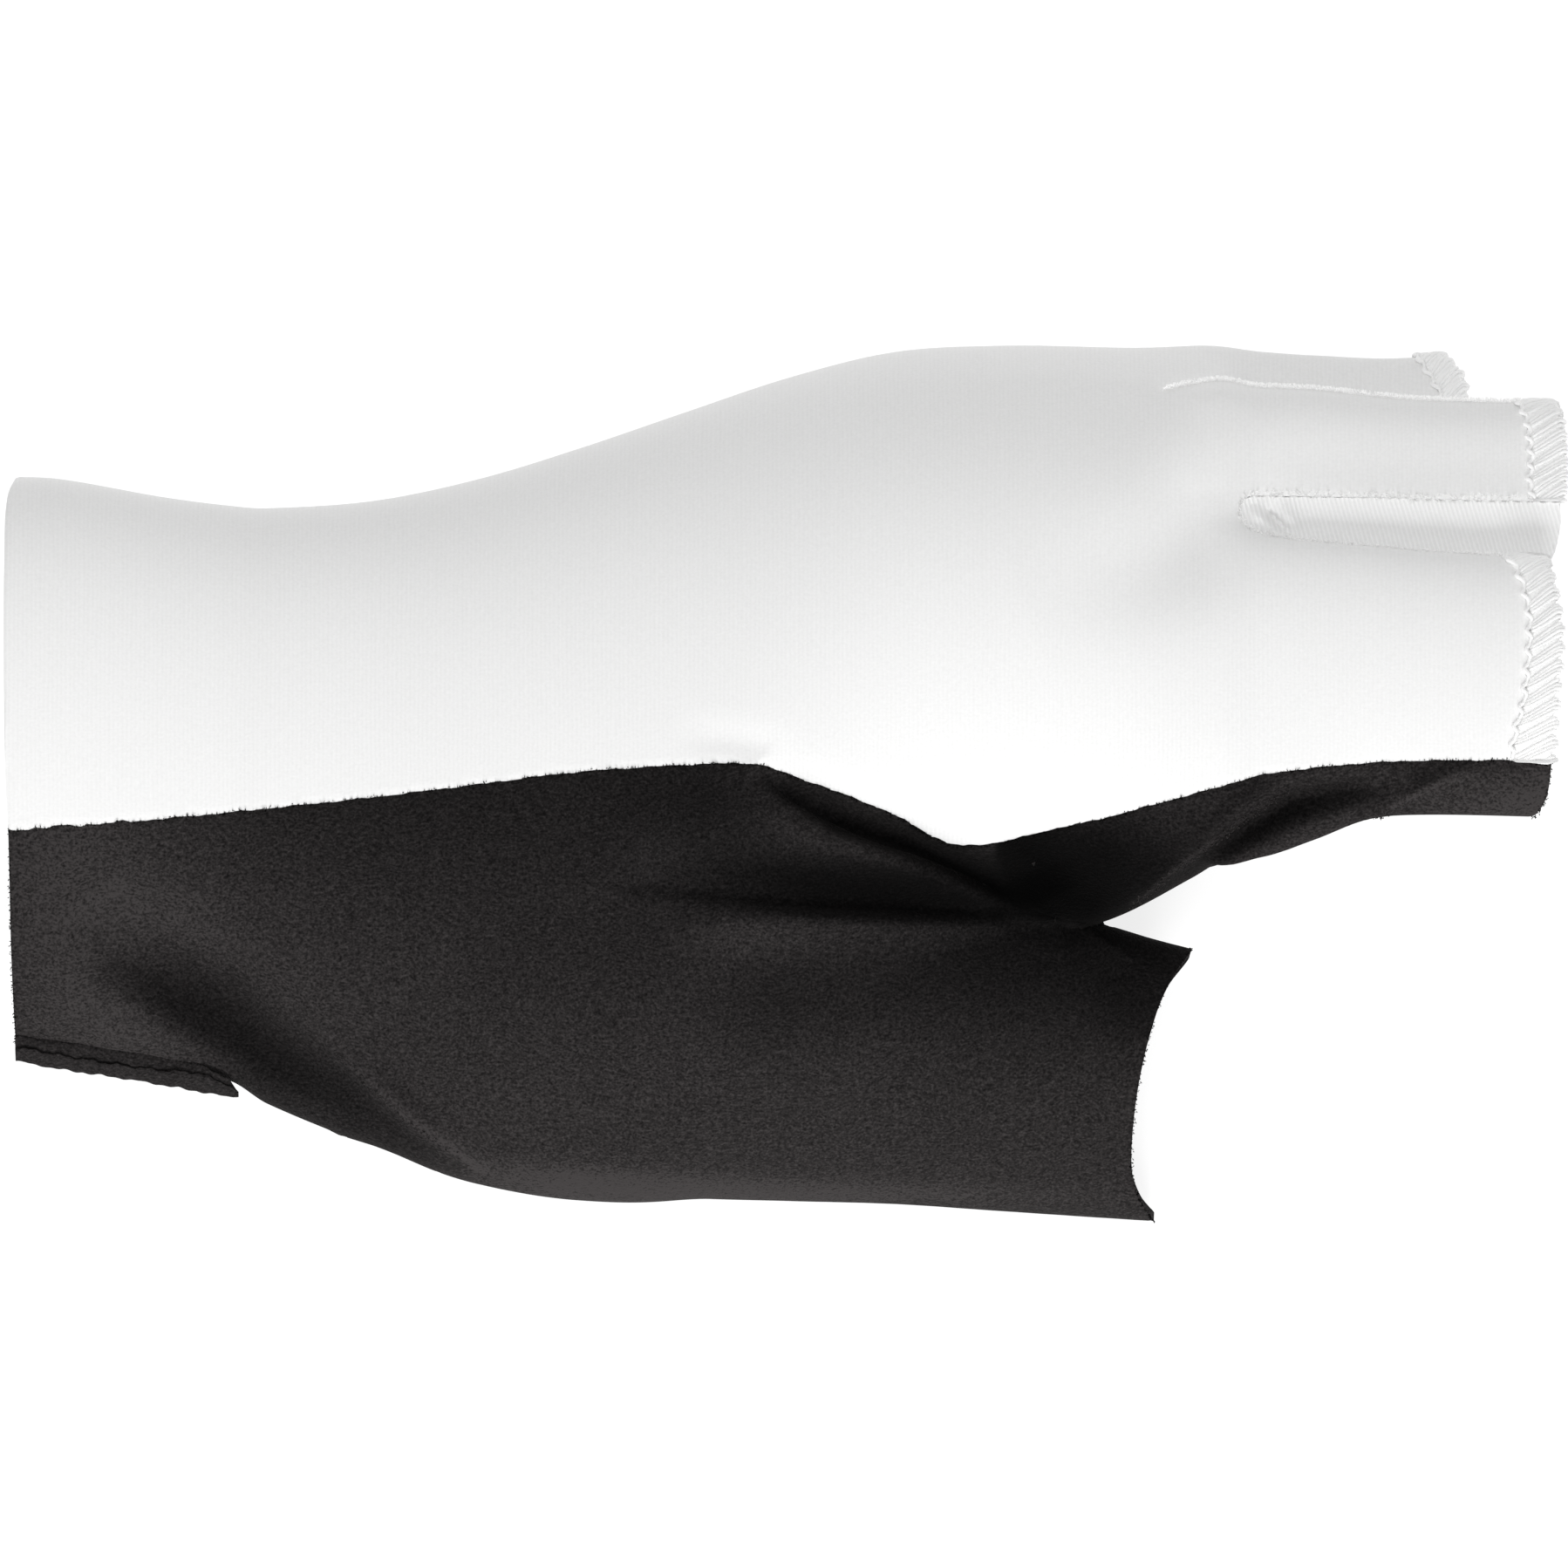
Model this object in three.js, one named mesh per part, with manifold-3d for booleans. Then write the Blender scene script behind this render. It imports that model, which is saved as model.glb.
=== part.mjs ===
// A fingerless cycling glove for the left hand, lying on its little-finger side with its thumb side up.
// +X runs from the wrist opening to the fingertips, +Y to the back of the hand, +Z up to the thumb side.
// The knit back, the suede palm and the suede thumb are walls of one thin hollow skin. Narrow knit strips
// line the gaps between the fingers, and each finger ends in an overlocked band. Sizes are in millimetres.
import * as THREE from "three";
import { mergeVertices } from "three/addons/utils/BufferGeometryUtils.js";
import Module from "manifold-3d";

const wasm = await Module();
wasm.setup();

// Driving dimensions
const WALL = 1.2; // thickness of the knit and of the suede
const GAP = 0.3; // clearance kept between neighbouring pieces
const HEM_LENGTH = 4.8; // overlocked band at the end of a finger
const HEM_PROUD = 0.45; // how far the band stands out of the finger
const PAST = 6; // how far a cutting body reaches past what it cuts
const STEP = 7.6; // spacing of the sections along the glove
const CUFF_X = -98.4;
const CROTCH_X = 57.8; // where the fingers part
const OUTSIDE = 80; // a distance that is clear of the glove on every side
const SIDES = {
  hand: { outer: 36, inner: 26 },
  thumb: { outer: 28, inner: 20 },
  finger: { outer: 24, inner: 16 },
};
const FULL_CIRCLE = Math.PI * 2;

const KNIT = { color: 0xf1f1ef, roughness: 0.85, metalness: 0 };
const SUEDE = { color: 0x2a2829, roughness: 0.95, metalness: 0 };
const THREAD = { color: 0xf4f4f2, roughness: 0.7, metalness: 0 };

// Sections across the tubes. yLow and yHigh are the edges of the outline, zLow and zHigh the heights of those
// edges above the table, and up and down the bulge of the cloth above and below the line that joins them.
// What bulges below the table is pressed flat on it.
const COLUMNS = ["x", "yLow", "yHigh", "zLow", "zHigh", "up", "down"];

const HAND = table([
  [-98.4, -32.4, 38.9, 12, 12, 15, 13.5],
  [-91.7, -33.4, 38.6, 12, 12, 15, 13.5],
  [-78.5, -35.7, 36.3, 12, 12, 15, 13.5],
  [-70.0, -37.6, 35.2, 12, 12.2, 15.2, 13.6],
  [-65.3, -40.5, 34.9, 12, 12.5, 15.8, 13.8],
  [-52.1, -45.7, 35.8, 12, 13, 17, 14.2],
  [-38.9, -49.1, 38.5, 12, 13.5, 19.5, 14.5],
  [-25.7, -50.6, 42.5, 12.5, 14, 22, 15.5],
  [-12.5, -48.5, 47.0, 14, 14.5, 24.5, 17],
  [0.7, -36.0, 51.4, 16, 15, 27, 18.5],
  [13.9, -24.0, 54.6, 18, 15.5, 28, 20],
  [27.1, -19.4, 55.4, 20, 16, 27, 21],
  [40.3, -17.4, 55.2, 24, 16.5, 24.5, 22],
  [53.5, -10.7, 54.7, 34, 17, 19.5, 22],
]);

const THUMB = table([
  [-52.0, -40, -18, 13, 15, 5, 6],
  [-45.0, -46, -15, 12, 16, 8, 8],
  [-38.9, -48.8, -13, 12, 17.5, 11, 10],
  [-25.7, -51.5, -11.5, 12, 20, 14, 12],
  [-12.5, -52.4, -11.2, 11, 23.5, 15.8, 12.5],
  [0.7, -52.8, -12, 10, 26, 15, 12],
  [13.9, -53.2, -13, 8, 25, 13.5, 12],
  [27.1, -54.1, -15, 6, 23, 12, 11.5],
  [40.3, -55.0, -17.7, 4.4, 19.5, 10.5, 11],
  [46.8, -55.4, -19.6, 3.8, 17.5, 9.5, 10.5],
  [53.0, -55.6, -21.2, 3.6, 16, 9, 10],
]);

const FINGERS = {
  index: {
    end: 97,
    sections: table([
      [40, 2, 26, 35, 35, 7, 7],
      [53.5, -9.5, 30.8, 41, 41, 6, 5.6],
      [60, -9.2, 31.0, 41.6, 41.6, 5.6, 5.6],
      [66.7, -7.0, 30.4, 41.6, 41.6, 5.6, 5.6],
      [73.3, -4.5, 29.9, 41.6, 41.6, 5.5, 5.5],
      [80, -3.9, 29.3, 41.6, 41.6, 5.4, 5.4],
      [97, -4.2, 28.3, 41.6, 41.6, 5.4, 5.4],
    ]),
  },
  middle: {
    end: 98.4,
    sections: table([
      [40, 20, 44, 29, 28, 6, 6],
      [53.5, 17, 50.4, 29, 29, 5.8, 5.5],
      [66.7, 17, 49.7, 29, 29, 5.6, 5.5],
      [80, 17, 48.4, 29, 29, 5.5, 5.5],
      [98.4, 17, 48.0, 29, 29, 5.4, 5.4],
    ]),
  },
  ring: {
    end: 86,
    sections: table([
      [40, 28, 52, 17, 16.5, 5, 5],
      [53.5, 24, 54.7, 16.7, 16.7, 5.2, 5.1],
      [66.7, 23.5, 54.2, 16.7, 16.7, 5.1, 5.1],
      [76, 23.5, 53.8, 16.7, 16.7, 5.1, 5.1],
      [86, 23.5, 54.3, 16.7, 16.7, 5.1, 5.1],
    ]),
  },
  pinky: {
    end: 76,
    sections: table([
      [36, 27, 46, 6, 6, 5, 6],
      [50, 21.5, 49.6, 5, 5, 5, 5.4],
      [60, 21, 49, 5, 5, 5, 5.4],
      [76, 21, 48.5, 5, 5, 4.9, 5.4],
    ]),
  },
};

// The seam between the white back and the black palm: its Y at some heights above the table.
const SEAM_HEIGHTS = [0, 17, 29, 35.5, 39, 60];
const SEAM = [
  { x: -105, y: [-6, -6, -6, -6, -6, -6] },
  { x: -78, y: [-4, -4.2, -4.4, -4.4, -4.4, -4.4] },
  { x: -52, y: [0, -1, -1.7, -1.7, -1.7, -1.7] },
  { x: -26, y: [5, 3, 1.5, 1.5, 1.5, 1.5] },
  { x: -6, y: [9, 6, 2.6, 2.6, 2.6, 2.6] },
  { x: 0.7, y: [11, 6, 1.3, 1.3, 1.3, 1.3] },
  { x: 13.9, y: [15, 6, -2, -3.8, -3.8, -3.8] },
  { x: 22, y: [17, 7, -4, -7.4, -7.4, -7.4] },
  { x: 27.1, y: [18, 8, -4, -7.4, -7.4, -7.4] },
  { x: 40.3, y: [21, 15, 2, -4.3, -4.3, -4.3] },
  { x: 53.5, y: [24, 24, 16, 3, -0.7, -0.7] },
  { x: 60, y: [25.5, 28, 22, 8, 1.2, 1.2] },
  { x: 73.3, y: [25.5, 28, 22, 10, 2.7, 2.7] },
  { x: 105, y: [25.5, 28, 22, 10, 2.7, 2.7] },
];

// The seam between the thumb piece and the palm. On the upper side it runs at yTop, below at yUnder, and the
// cut crosses from one to the other at zInside, in the hollow. Left of the thumb it follows the lower edge.
const THUMB_SEAM = [
  { x: -105, zOuter: 12, yUnder: -20, zInside: 13, yTop: 20 },
  { x: -52, zOuter: 12, yUnder: -30, zInside: 13, yTop: 20 },
  { x: -39, zOuter: 10, yUnder: -43, zInside: 13, yTop: 20 },
  { x: -26, zOuter: -8, yUnder: -43, zInside: 14, yTop: 20 },
  { x: -12.5, zOuter: -8, yUnder: -36, zInside: 16, yTop: 14 },
  { x: -3, zOuter: -8, yUnder: -31, zInside: 18, yTop: 4 },
  { x: 0.7, zOuter: -8, yUnder: -29, zInside: 18, yTop: -0.6 },
  { x: 13.9, zOuter: -8, yUnder: -24, zInside: 18, yTop: -7 },
  { x: 27.1, zOuter: -8, yUnder: -20.5, zInside: 18, yTop: -13.6 },
  { x: 36, zOuter: -8, yUnder: -18.6, zInside: 18, yTop: -17.2 },
  { x: 44, zOuter: -8, yUnder: -18, zInside: 18, yTop: -18 },
  { x: 70, zOuter: -8, yUnder: -16, zInside: 18, yTop: -16 },
];

// Valleys folded into the upper side. Each is pressed in by the lower part of a long egg that lies between
// two points above the cloth, and has the half width and the half height given.
const VALLEYS = [
  { name: "heel", from: [-92, -9, 33], to: [-36, -52, 22], width: 8.5, height: 9 },
  { name: "thumb root", from: [-20, -12, 42.5], to: [37, -16.5, 37.5], width: 7, height: 10 },
  { name: "web", from: [-4, 3.5, 48.5], to: [41, -14.5, 41.5], width: 4.6, height: 7 },
];

// The cut end of the thumb, seen from above: it is hollowed, and longest at the two edges of the tube.
const THUMB_END = [
  [52.2, -18],
  [51.4, -21],
  [48.4, -25],
  [46.4, -31],
  [44.8, -38],
  [44.0, -45],
  [44.1, -49.5],
  [45.2, -53],
  [47.0, -55.6],
  [47.6, -58],
];

// The strips between the fingers: the space in which each lies, by height and by its edge towards the back.
const STRIPS = {
  strip_index_middle: { zLow: 29.15, zHigh: 41.45, yLow: 1, yHigh: 36 },
  strip_middle_ring: { zLow: 16.85, zHigh: 28.85, yLow: 12, yHigh: 46.8 },
  strip_ring_pinky: { zLow: 5.15, zHigh: 16.55, yLow: 18, yHigh: 46 },
};
const STRIP_START = 54.5;

// The turned-out seam allowance that stands along the lower edge of the cuff
const CUFF_SEAM = [
  { x: -97.4, yOut: -35.1, yIn: -32.8 },
  { x: -88, yOut: -36.7, yIn: -34.3 },
  { x: -78.5, yOut: -38.2, yIn: -36.0 },
  { x: -69.4, yOut: -39.6, yIn: -38.2 },
];
const CUFF_SEAM_HEIGHT = 12;
const CUFF_SEAM_THICKNESS = 2;

function table(rows) {
  return rows.map((row) => Object.fromEntries(COLUMNS.map((name, i) => [name, row[i]])));
}

// One column of a table at x, along a smooth curve through its rows
function at(rows, x, column) {
  const last = rows.length - 1;
  let i = rows.findIndex((row) => row.x > x) - 1;
  if (x <= rows[0].x) i = 0;
  if (i < 0) i = last - 1;
  const [p, q] = [rows[i], rows[i + 1]];
  const [before, after] = [rows[Math.max(i - 1, 0)], rows[Math.min(i + 2, last)]];
  const span = q.x - p.x;
  const t = THREE.MathUtils.clamp((x - p.x) / span, 0, 1);
  const slopeP = ((q[column] - before[column]) / (q.x - before.x)) * span;
  const slopeQ = ((after[column] - p[column]) / (after.x - p.x)) * span;
  const t2 = t * t;
  const t3 = t2 * t;
  return (
    (2 * t3 - 3 * t2 + 1) * p[column] +
    (t3 - 2 * t2 + t) * slopeP +
    (3 * t2 - 2 * t3) * q[column] +
    (t3 - t2) * slopeQ
  );
}

// The closed section of a tube at x, taken in by inset on all sides and scaled about its middle
function ring(sections, x, inset, scale, count) {
  const s = Object.fromEntries(COLUMNS.map((name) => [name, at(sections, x, name)]));
  const middle = (s.yLow + s.yHigh) / 2;
  const half = ((s.yHigh - s.yLow) / 2 - inset) * scale;
  const floor = Math.max(inset, 0);
  const points = [];
  for (let i = 0; i < count; i++) {
    const angle = (i / count) * FULL_CIRCLE;
    const across = Math.cos(angle);
    const y = middle + half * across;
    const share = (y - s.yLow) / (s.yHigh - s.yLow);
    const line = s.zLow + (s.zHigh - s.zLow) * share;
    const bulge = (Math.sin(angle) > 0 ? s.up : s.down) - inset;
    points.push(new THREE.Vector3(x, y, Math.max(line + bulge * scale * Math.sin(angle), floor)));
  }
  return points;
}

// A closed body through rings of points, with flat ends
function loft(rings) {
  const count = rings[0].length;
  const positions = rings.flat().flatMap((p) => [p.x, p.y, p.z]);
  const index = [];
  for (let r = 0; r + 1 < rings.length; r++) {
    for (let i = 0; i < count; i++) {
      const [a, b] = [r * count + i, r * count + ((i + 1) % count)];
      index.push(a, b, b + count, a, b + count, a + count);
    }
  }
  for (const [r, turned] of [[0, true], [rings.length - 1, false]]) {
    const centre = new THREE.Vector3();
    rings[r].forEach((p) => centre.add(p));
    centre.divideScalar(count);
    const hub = positions.length / 3;
    positions.push(centre.x, centre.y, centre.z);
    for (let i = 0; i < count; i++) {
      const [a, b] = [r * count + i, r * count + ((i + 1) % count)];
      index.push(...(turned ? [hub, b, a] : [hub, a, b]));
    }
  }
  const geometry = new THREE.BufferGeometry();
  geometry.setAttribute("position", new THREE.Float32BufferAttribute(positions, 3));
  geometry.setIndex(index);
  return geometry;
}

function solid(geometry) {
  const bare = geometry.clone();
  bare.deleteAttribute("normal");
  bare.deleteAttribute("uv");
  const merged = mergeVertices(bare, 1e-4);
  const made = new wasm.Manifold(
    new wasm.Mesh({
      numProp: 3,
      vertProperties: new Float32Array(merged.attributes.position.array),
      triVerts: new Uint32Array(merged.index.array),
    }),
  );
  return made;
}

function geometryOf(body) {
  const mesh = body.getMesh();
  const geometry = new THREE.BufferGeometry();
  const positions = new Float32Array(mesh.numVert * 3);
  for (let i = 0; i < mesh.numVert; i++) {
    positions.set(mesh.vertProperties.subarray(i * mesh.numProp, i * mesh.numProp + 3), i * 3);
  }
  geometry.setAttribute("position", new THREE.BufferAttribute(positions, 3));
  geometry.setIndex(new THREE.BufferAttribute(new Uint32Array(mesh.triVerts), 1));
  return geometry;
}

// Stations from start to end, about STEP apart
function stations(start, end, step = STEP) {
  const count = Math.max(2, Math.round(Math.abs(end - start) / step));
  return Array.from({ length: count + 1 }, (_, i) => start + ((end - start) * i) / count);
}

// A tube that is cut off at its open end, and closes in a round nose at its blind end
function tube(sections, { blind, open, inset, sides }) {
  const count = inset > 0 ? sides.inner : sides.outer;
  const noseLength = 5;
  const noseSteps = [0.97, 0.85, 0.62];
  const direction = Math.sign(blind - open);
  const noseStart = blind - direction * noseLength;
  const rings = stations(open, noseStart).map((x) => ring(sections, x, inset, 1, count));
  noseSteps.forEach((scale) => {
    const reach = (noseLength - inset) * Math.sqrt(1 - scale * scale);
    const nose = ring(sections, noseStart, inset, scale, count);
    nose.forEach((p) => (p.x = noseStart + direction * reach));
    rings.push(nose);
  });
  if (direction < 0) rings.reverse();
  return solid(loft(rings));
}

function handTube(inset) {
  const cuff = CUFF_X - (inset > 0 ? PAST : 0);
  return tube(HAND, { blind: CROTCH_X + 0.5, open: cuff, inset, sides: SIDES.hand });
}

function thumbTube(inset) {
  return tube(THUMB, { blind: THUMB[0].x, open: THUMB.at(-1).x, inset, sides: SIDES.thumb });
}

function fingerTube(finger, inset) {
  const start = finger.sections[0].x;
  const end = finger.end + (inset > 0 ? PAST : 0);
  return tube(finger.sections, { blind: start, open: end, inset, sides: SIDES.finger });
}

function union(bodies) {
  return bodies.reduce((all, body) => all.add(body));
}

// The space that a valley takes out of the glove, grown by a margin
function valley({ from, to, width, height }, margin) {
  const start = new THREE.Vector3(...from);
  const end = new THREE.Vector3(...to);
  const middle = start.clone().lerp(end, 0.5);
  const length = start.distanceTo(end);
  const direction = end.sub(start).normalize();
  const geometry = new THREE.SphereGeometry(1, 14, 12);
  geometry.scale(length / 2 + margin, width + margin, height + margin);
  geometry.applyQuaternion(new THREE.Quaternion().setFromUnitVectors(new THREE.Vector3(1, 0, 0), direction));
  geometry.translate(middle.x, middle.y, middle.z);
  return solid(geometry);
}

// Everything on the palm side of the seam, grown by a margin
function palmSide(margin) {
  const rings = SEAM.map(({ x, y }) => {
    const edge = SEAM_HEIGHTS.map((z, i) => new THREE.Vector3(x, y[i] + margin, z));
    edge[0].z = -PAST;
    const top = new THREE.Vector3(x, -OUTSIDE, SEAM_HEIGHTS.at(-1));
    const bottom = new THREE.Vector3(x, -OUTSIDE, -PAST);
    return [...edge, top, bottom];
  });
  return solid(loft(rings));
}

// Everything on the thumb's side of the seam round the thumb, grown by a margin
function thumbSide(margin) {
  const rings = THUMB_SEAM.map(({ x, zOuter, yUnder, zInside, yTop }) => [
    new THREE.Vector3(x, -OUTSIDE, zOuter - margin),
    new THREE.Vector3(x, yUnder + margin, zOuter - margin),
    new THREE.Vector3(x, yUnder + margin, zInside - margin),
    new THREE.Vector3(x, yTop + margin, zInside - margin + 0.5),
    new THREE.Vector3(x, yTop + margin, OUTSIDE),
    new THREE.Vector3(x, -OUTSIDE, OUTSIDE),
  ]);
  return solid(loft(rings));
}

// A box from two corners
function block(low, high) {
  const size = high.map((value, i) => value - low[i]);
  const middle = high.map((value, i) => (value + low[i]) / 2);
  const geometry = new THREE.BoxGeometry(...size);
  geometry.translate(...middle);
  return solid(geometry);
}

// What is cut off at the end of the thumb
function thumbEndCutter() {
  const curve = new THREE.SplineCurve(THUMB_END.map(([x, y]) => new THREE.Vector2(x, y)));
  const shape = new THREE.Shape([
    ...curve.getPoints(16),
    new THREE.Vector2(OUTSIDE, -OUTSIDE),
    new THREE.Vector2(OUTSIDE, THUMB_END[0][1]),
  ]);
  const geometry = new THREE.ExtrudeGeometry(shape, { depth: OUTSIDE, bevelEnabled: false });
  geometry.translate(0, 0, -OUTSIDE / 2);
  return solid(geometry);
}

function stripSpace({ zLow, zHigh, yLow, yHigh }, margin) {
  return block(
    [STRIP_START - margin, yLow - margin, zLow - margin],
    [CROTCH_X + OUTSIDE, yHigh + margin, zHigh + margin],
  );
}

// The overlocked band of a finger, from its start to the finger's end
function band(finger, proud, from, to) {
  const rings = [from, to].map((x) => ring(finger.sections, x, -proud, 1, SIDES.finger.outer));
  return solid(loft(rings));
}

function cuffSeam() {
  const [low, high] = [-1, 1].map((side) => CUFF_SEAM_HEIGHT + (side * CUFF_SEAM_THICKNESS) / 2);
  const rings = CUFF_SEAM.map(({ x, yOut, yIn }) => [
    new THREE.Vector3(x, yOut, low),
    new THREE.Vector3(x, yIn, low),
    new THREE.Vector3(x, yIn, high),
    new THREE.Vector3(x, yOut, high),
  ]);
  return solid(loft(rings));
}

function build() {
  const fingers = Object.values(FINGERS);
  const outer = [handTube(0), ...fingers.map((f) => fingerTube(f, 0))];
  const inner = [handTube(WALL), ...fingers.map((f) => fingerTube(f, WALL))];
  const thumbEnd = thumbEndCutter();
  const thumbOuter = thumbTube(0).subtract(thumbEnd);
  const folded = (body, margin) => VALLEYS.reduce((rest, v) => rest.subtract(valley(v, margin)), body);
  const hollow = folded(union([...inner, thumbTube(WALL)]), WALL);
  const skin = folded(union([...outer, thumbOuter]), 0).subtract(hollow);

  const pieces = {};
  const black = skin.intersect(palmSide(0));
  const white = skin.subtract(palmSide(GAP));
  pieces.thumb_panel = black.intersect(thumbSide(0));
  pieces.palm_panel = black.subtract(thumbSide(GAP));

  let back = white;
  for (const [name, space] of Object.entries(STRIPS)) {
    pieces[name] = white.intersect(stripSpace(space, 0));
    back = back.subtract(stripSpace(space, GAP));
  }
  for (const [name, finger] of Object.entries(FINGERS)) {
    const start = finger.end - HEM_LENGTH;
    let hem = band(finger, HEM_PROUD, start, finger.end).subtract(hollow).subtract(palmSide(GAP));
    Object.values(STRIPS).forEach((space) => (hem = hem.subtract(stripSpace(space, GAP))));
    pieces[`hem_${name}`] = hem;
    back = back.subtract(band(finger, HEM_PROUD, start - GAP, finger.end + PAST));
  }
  pieces.back_panel = back;
  pieces.cuff_seam = cuffSeam();
  return pieces;
}

const LOOKS = { palm_panel: SUEDE, thumb_panel: SUEDE, cuff_seam: SUEDE };

const glove = new THREE.Group();
for (const [name, body] of Object.entries(build())) {
  const look = LOOKS[name] ?? (name.startsWith("hem_") ? THREAD : KNIT);
  const mesh = new THREE.Mesh(geometryOf(body), new THREE.MeshStandardMaterial(look));
  mesh.name = name;
  glove.add(mesh);
}

export default glove;
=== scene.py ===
# %% [markdown]
# # A fingerless cycling glove, dressed for the camera
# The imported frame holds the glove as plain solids: a white knit back, a black suede palm and thumb, narrow
# strips between the fingers, and overlocked bands at their ends. This lesson puts cloth in their place.
# It lies on its little-finger side, +X runs to the fingertips, +Y to the back of the hand, and +Z is up.

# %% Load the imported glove
import math

import bpy
import numpy as np
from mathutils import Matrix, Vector


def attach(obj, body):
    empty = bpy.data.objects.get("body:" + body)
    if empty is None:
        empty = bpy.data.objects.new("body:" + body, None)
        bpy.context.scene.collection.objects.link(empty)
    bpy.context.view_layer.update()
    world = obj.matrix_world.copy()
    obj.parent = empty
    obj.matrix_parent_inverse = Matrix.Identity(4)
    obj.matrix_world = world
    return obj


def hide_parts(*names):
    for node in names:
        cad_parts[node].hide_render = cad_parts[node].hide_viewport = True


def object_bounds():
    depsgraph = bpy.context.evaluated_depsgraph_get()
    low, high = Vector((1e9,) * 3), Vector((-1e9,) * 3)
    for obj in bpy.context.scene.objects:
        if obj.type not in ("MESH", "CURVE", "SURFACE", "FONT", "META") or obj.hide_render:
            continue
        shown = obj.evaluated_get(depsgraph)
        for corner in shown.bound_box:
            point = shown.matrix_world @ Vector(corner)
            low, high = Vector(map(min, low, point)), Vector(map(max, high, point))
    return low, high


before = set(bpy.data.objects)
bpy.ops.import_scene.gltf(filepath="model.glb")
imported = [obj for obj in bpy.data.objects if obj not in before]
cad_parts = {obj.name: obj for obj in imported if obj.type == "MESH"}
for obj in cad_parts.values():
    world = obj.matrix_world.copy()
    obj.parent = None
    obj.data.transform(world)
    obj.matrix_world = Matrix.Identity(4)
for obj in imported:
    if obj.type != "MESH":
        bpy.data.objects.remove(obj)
cad_low, cad_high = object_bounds()
print("CAD box in mm", [round(v * 1000, 1) for v in (*cad_low, *cad_high)])

# %% [markdown]
# ## One skin for the whole glove
# A real glove is cut flat, sewn and turned, and its cloth then runs smoothly over every seam. Lofting each
# finger on its own leaves hard joins, so here one function gives the distance of any point from the skin:
# oval tubes whose sections follow tables, joined smoothly. All tables are in millimetres, as in the CAD.

# %% Sections of the tubes
# Each row: x, the lower and upper edge in Y, the height of both edges, and the bulge above and below them.
HAND = [
    [-98.4, -32.4, 38.9, 12, 12, 15, 13.5],
    [-91.7, -33.4, 38.6, 12, 12, 15, 13.5],
    [-78.5, -35.7, 36.3, 12, 12, 15, 13.5],
    [-70.0, -37.6, 35.2, 12, 12.2, 15.2, 13.6],
    [-65.3, -40.5, 34.9, 12, 12.5, 15.8, 13.8],
    [-52.1, -45.7, 35.8, 12, 13, 17, 14.2],
    [-38.9, -49.1, 38.5, 12, 13.5, 19.5, 14.5],
    [-25.7, -50.6, 42.5, 12.5, 14, 22, 15.5],
    [-12.5, -48.5, 47.0, 14, 14.5, 24.5, 17],
    [0.7, -36.0, 51.4, 16, 15, 27, 18.5],
    [13.9, -24.0, 54.6, 18, 15.5, 28, 20],
    [27.1, -19.4, 55.4, 20, 16, 27, 21],
    [40.3, -17.4, 55.2, 24, 16.5, 24.5, 22],
    [53.5, -10.7, 54.7, 34, 17, 19.5, 22],
]
THUMB = [
    [-52.0, -40, -18, 13, 15, 5, 6],
    [-45.0, -46, -15, 12, 16, 8, 8],
    [-38.9, -48.8, -13, 12, 17.5, 11, 10],
    [-25.7, -51.5, -11.5, 12, 20, 14, 12],
    [-12.5, -52.4, -11.2, 11, 23.5, 15.8, 12.5],
    [0.7, -52.8, -12, 10, 26, 15, 12],
    [13.9, -53.2, -13, 8, 25, 13.5, 12],
    [27.1, -54.1, -15, 6, 23, 12, 11.5],
    [40.3, -55.0, -17.7, 4.4, 19.5, 10.5, 11],
    [46.8, -55.4, -19.6, 3.8, 17.5, 9.5, 10.5],
    [53.0, -55.6, -21.2, 3.6, 16, 9, 10],
]
FINGERS = {
    "index": [
        [40, 2, 26, 35, 35, 7, 7],
        [53.5, -9.5, 30.8, 40.2, 40, 6, 5.6],
        [60, -9.2, 31.0, 41, 39.8, 5.8, 5.6],
        [66.7, -7.0, 30.4, 41.2, 39.6, 5.8, 5.6],
        [73.3, -4.5, 29.9, 41.2, 39.6, 5.8, 5.5],
        [80, -3.9, 29.3, 41.2, 39.6, 5.7, 5.4],
        [97, -4.2, 28.3, 41.2, 39.6, 5.7, 5.4],
    ],
    "middle": [
        [40, 20, 44, 29, 28, 8, 6],
        [53.5, 17, 50.4, 29, 29, 9, 5.5],
        [60, 17, 50.0, 29, 29, 8, 5.5],
        [66.7, 17, 49.7, 29, 29, 7.2, 5.5],
        [80, 17, 48.4, 29, 29, 6.8, 5.5],
        [98.4, 17, 48.0, 29, 29, 6.6, 5.4],
    ],
    "ring": [
        [40, 28, 52, 17, 16.5, 5, 5],
        [53.5, 24, 54.7, 16.7, 16.7, 5.2, 5.1],
        [66.7, 23.5, 54.2, 16.7, 16.7, 5.1, 5.1],
        [76, 23.5, 53.8, 16.7, 16.7, 5.1, 5.1],
        [86, 23.5, 54.3, 16.7, 16.7, 5.1, 5.1],
    ],
    "pinky": [
        [36, 27, 46, 6, 6, 5, 6],
        [50, 21.5, 49.6, 5, 5, 5, 5.4],
        [60, 21, 49, 5, 5, 5, 5.4],
        [76, 21, 48.5, 5, 5, 4.9, 5.4],
    ],
}
print(len(HAND), "sections of the hand,", len(THUMB), "of the thumb, and", len(FINGERS), "fingers")

# %% Distance from the tubes


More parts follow.
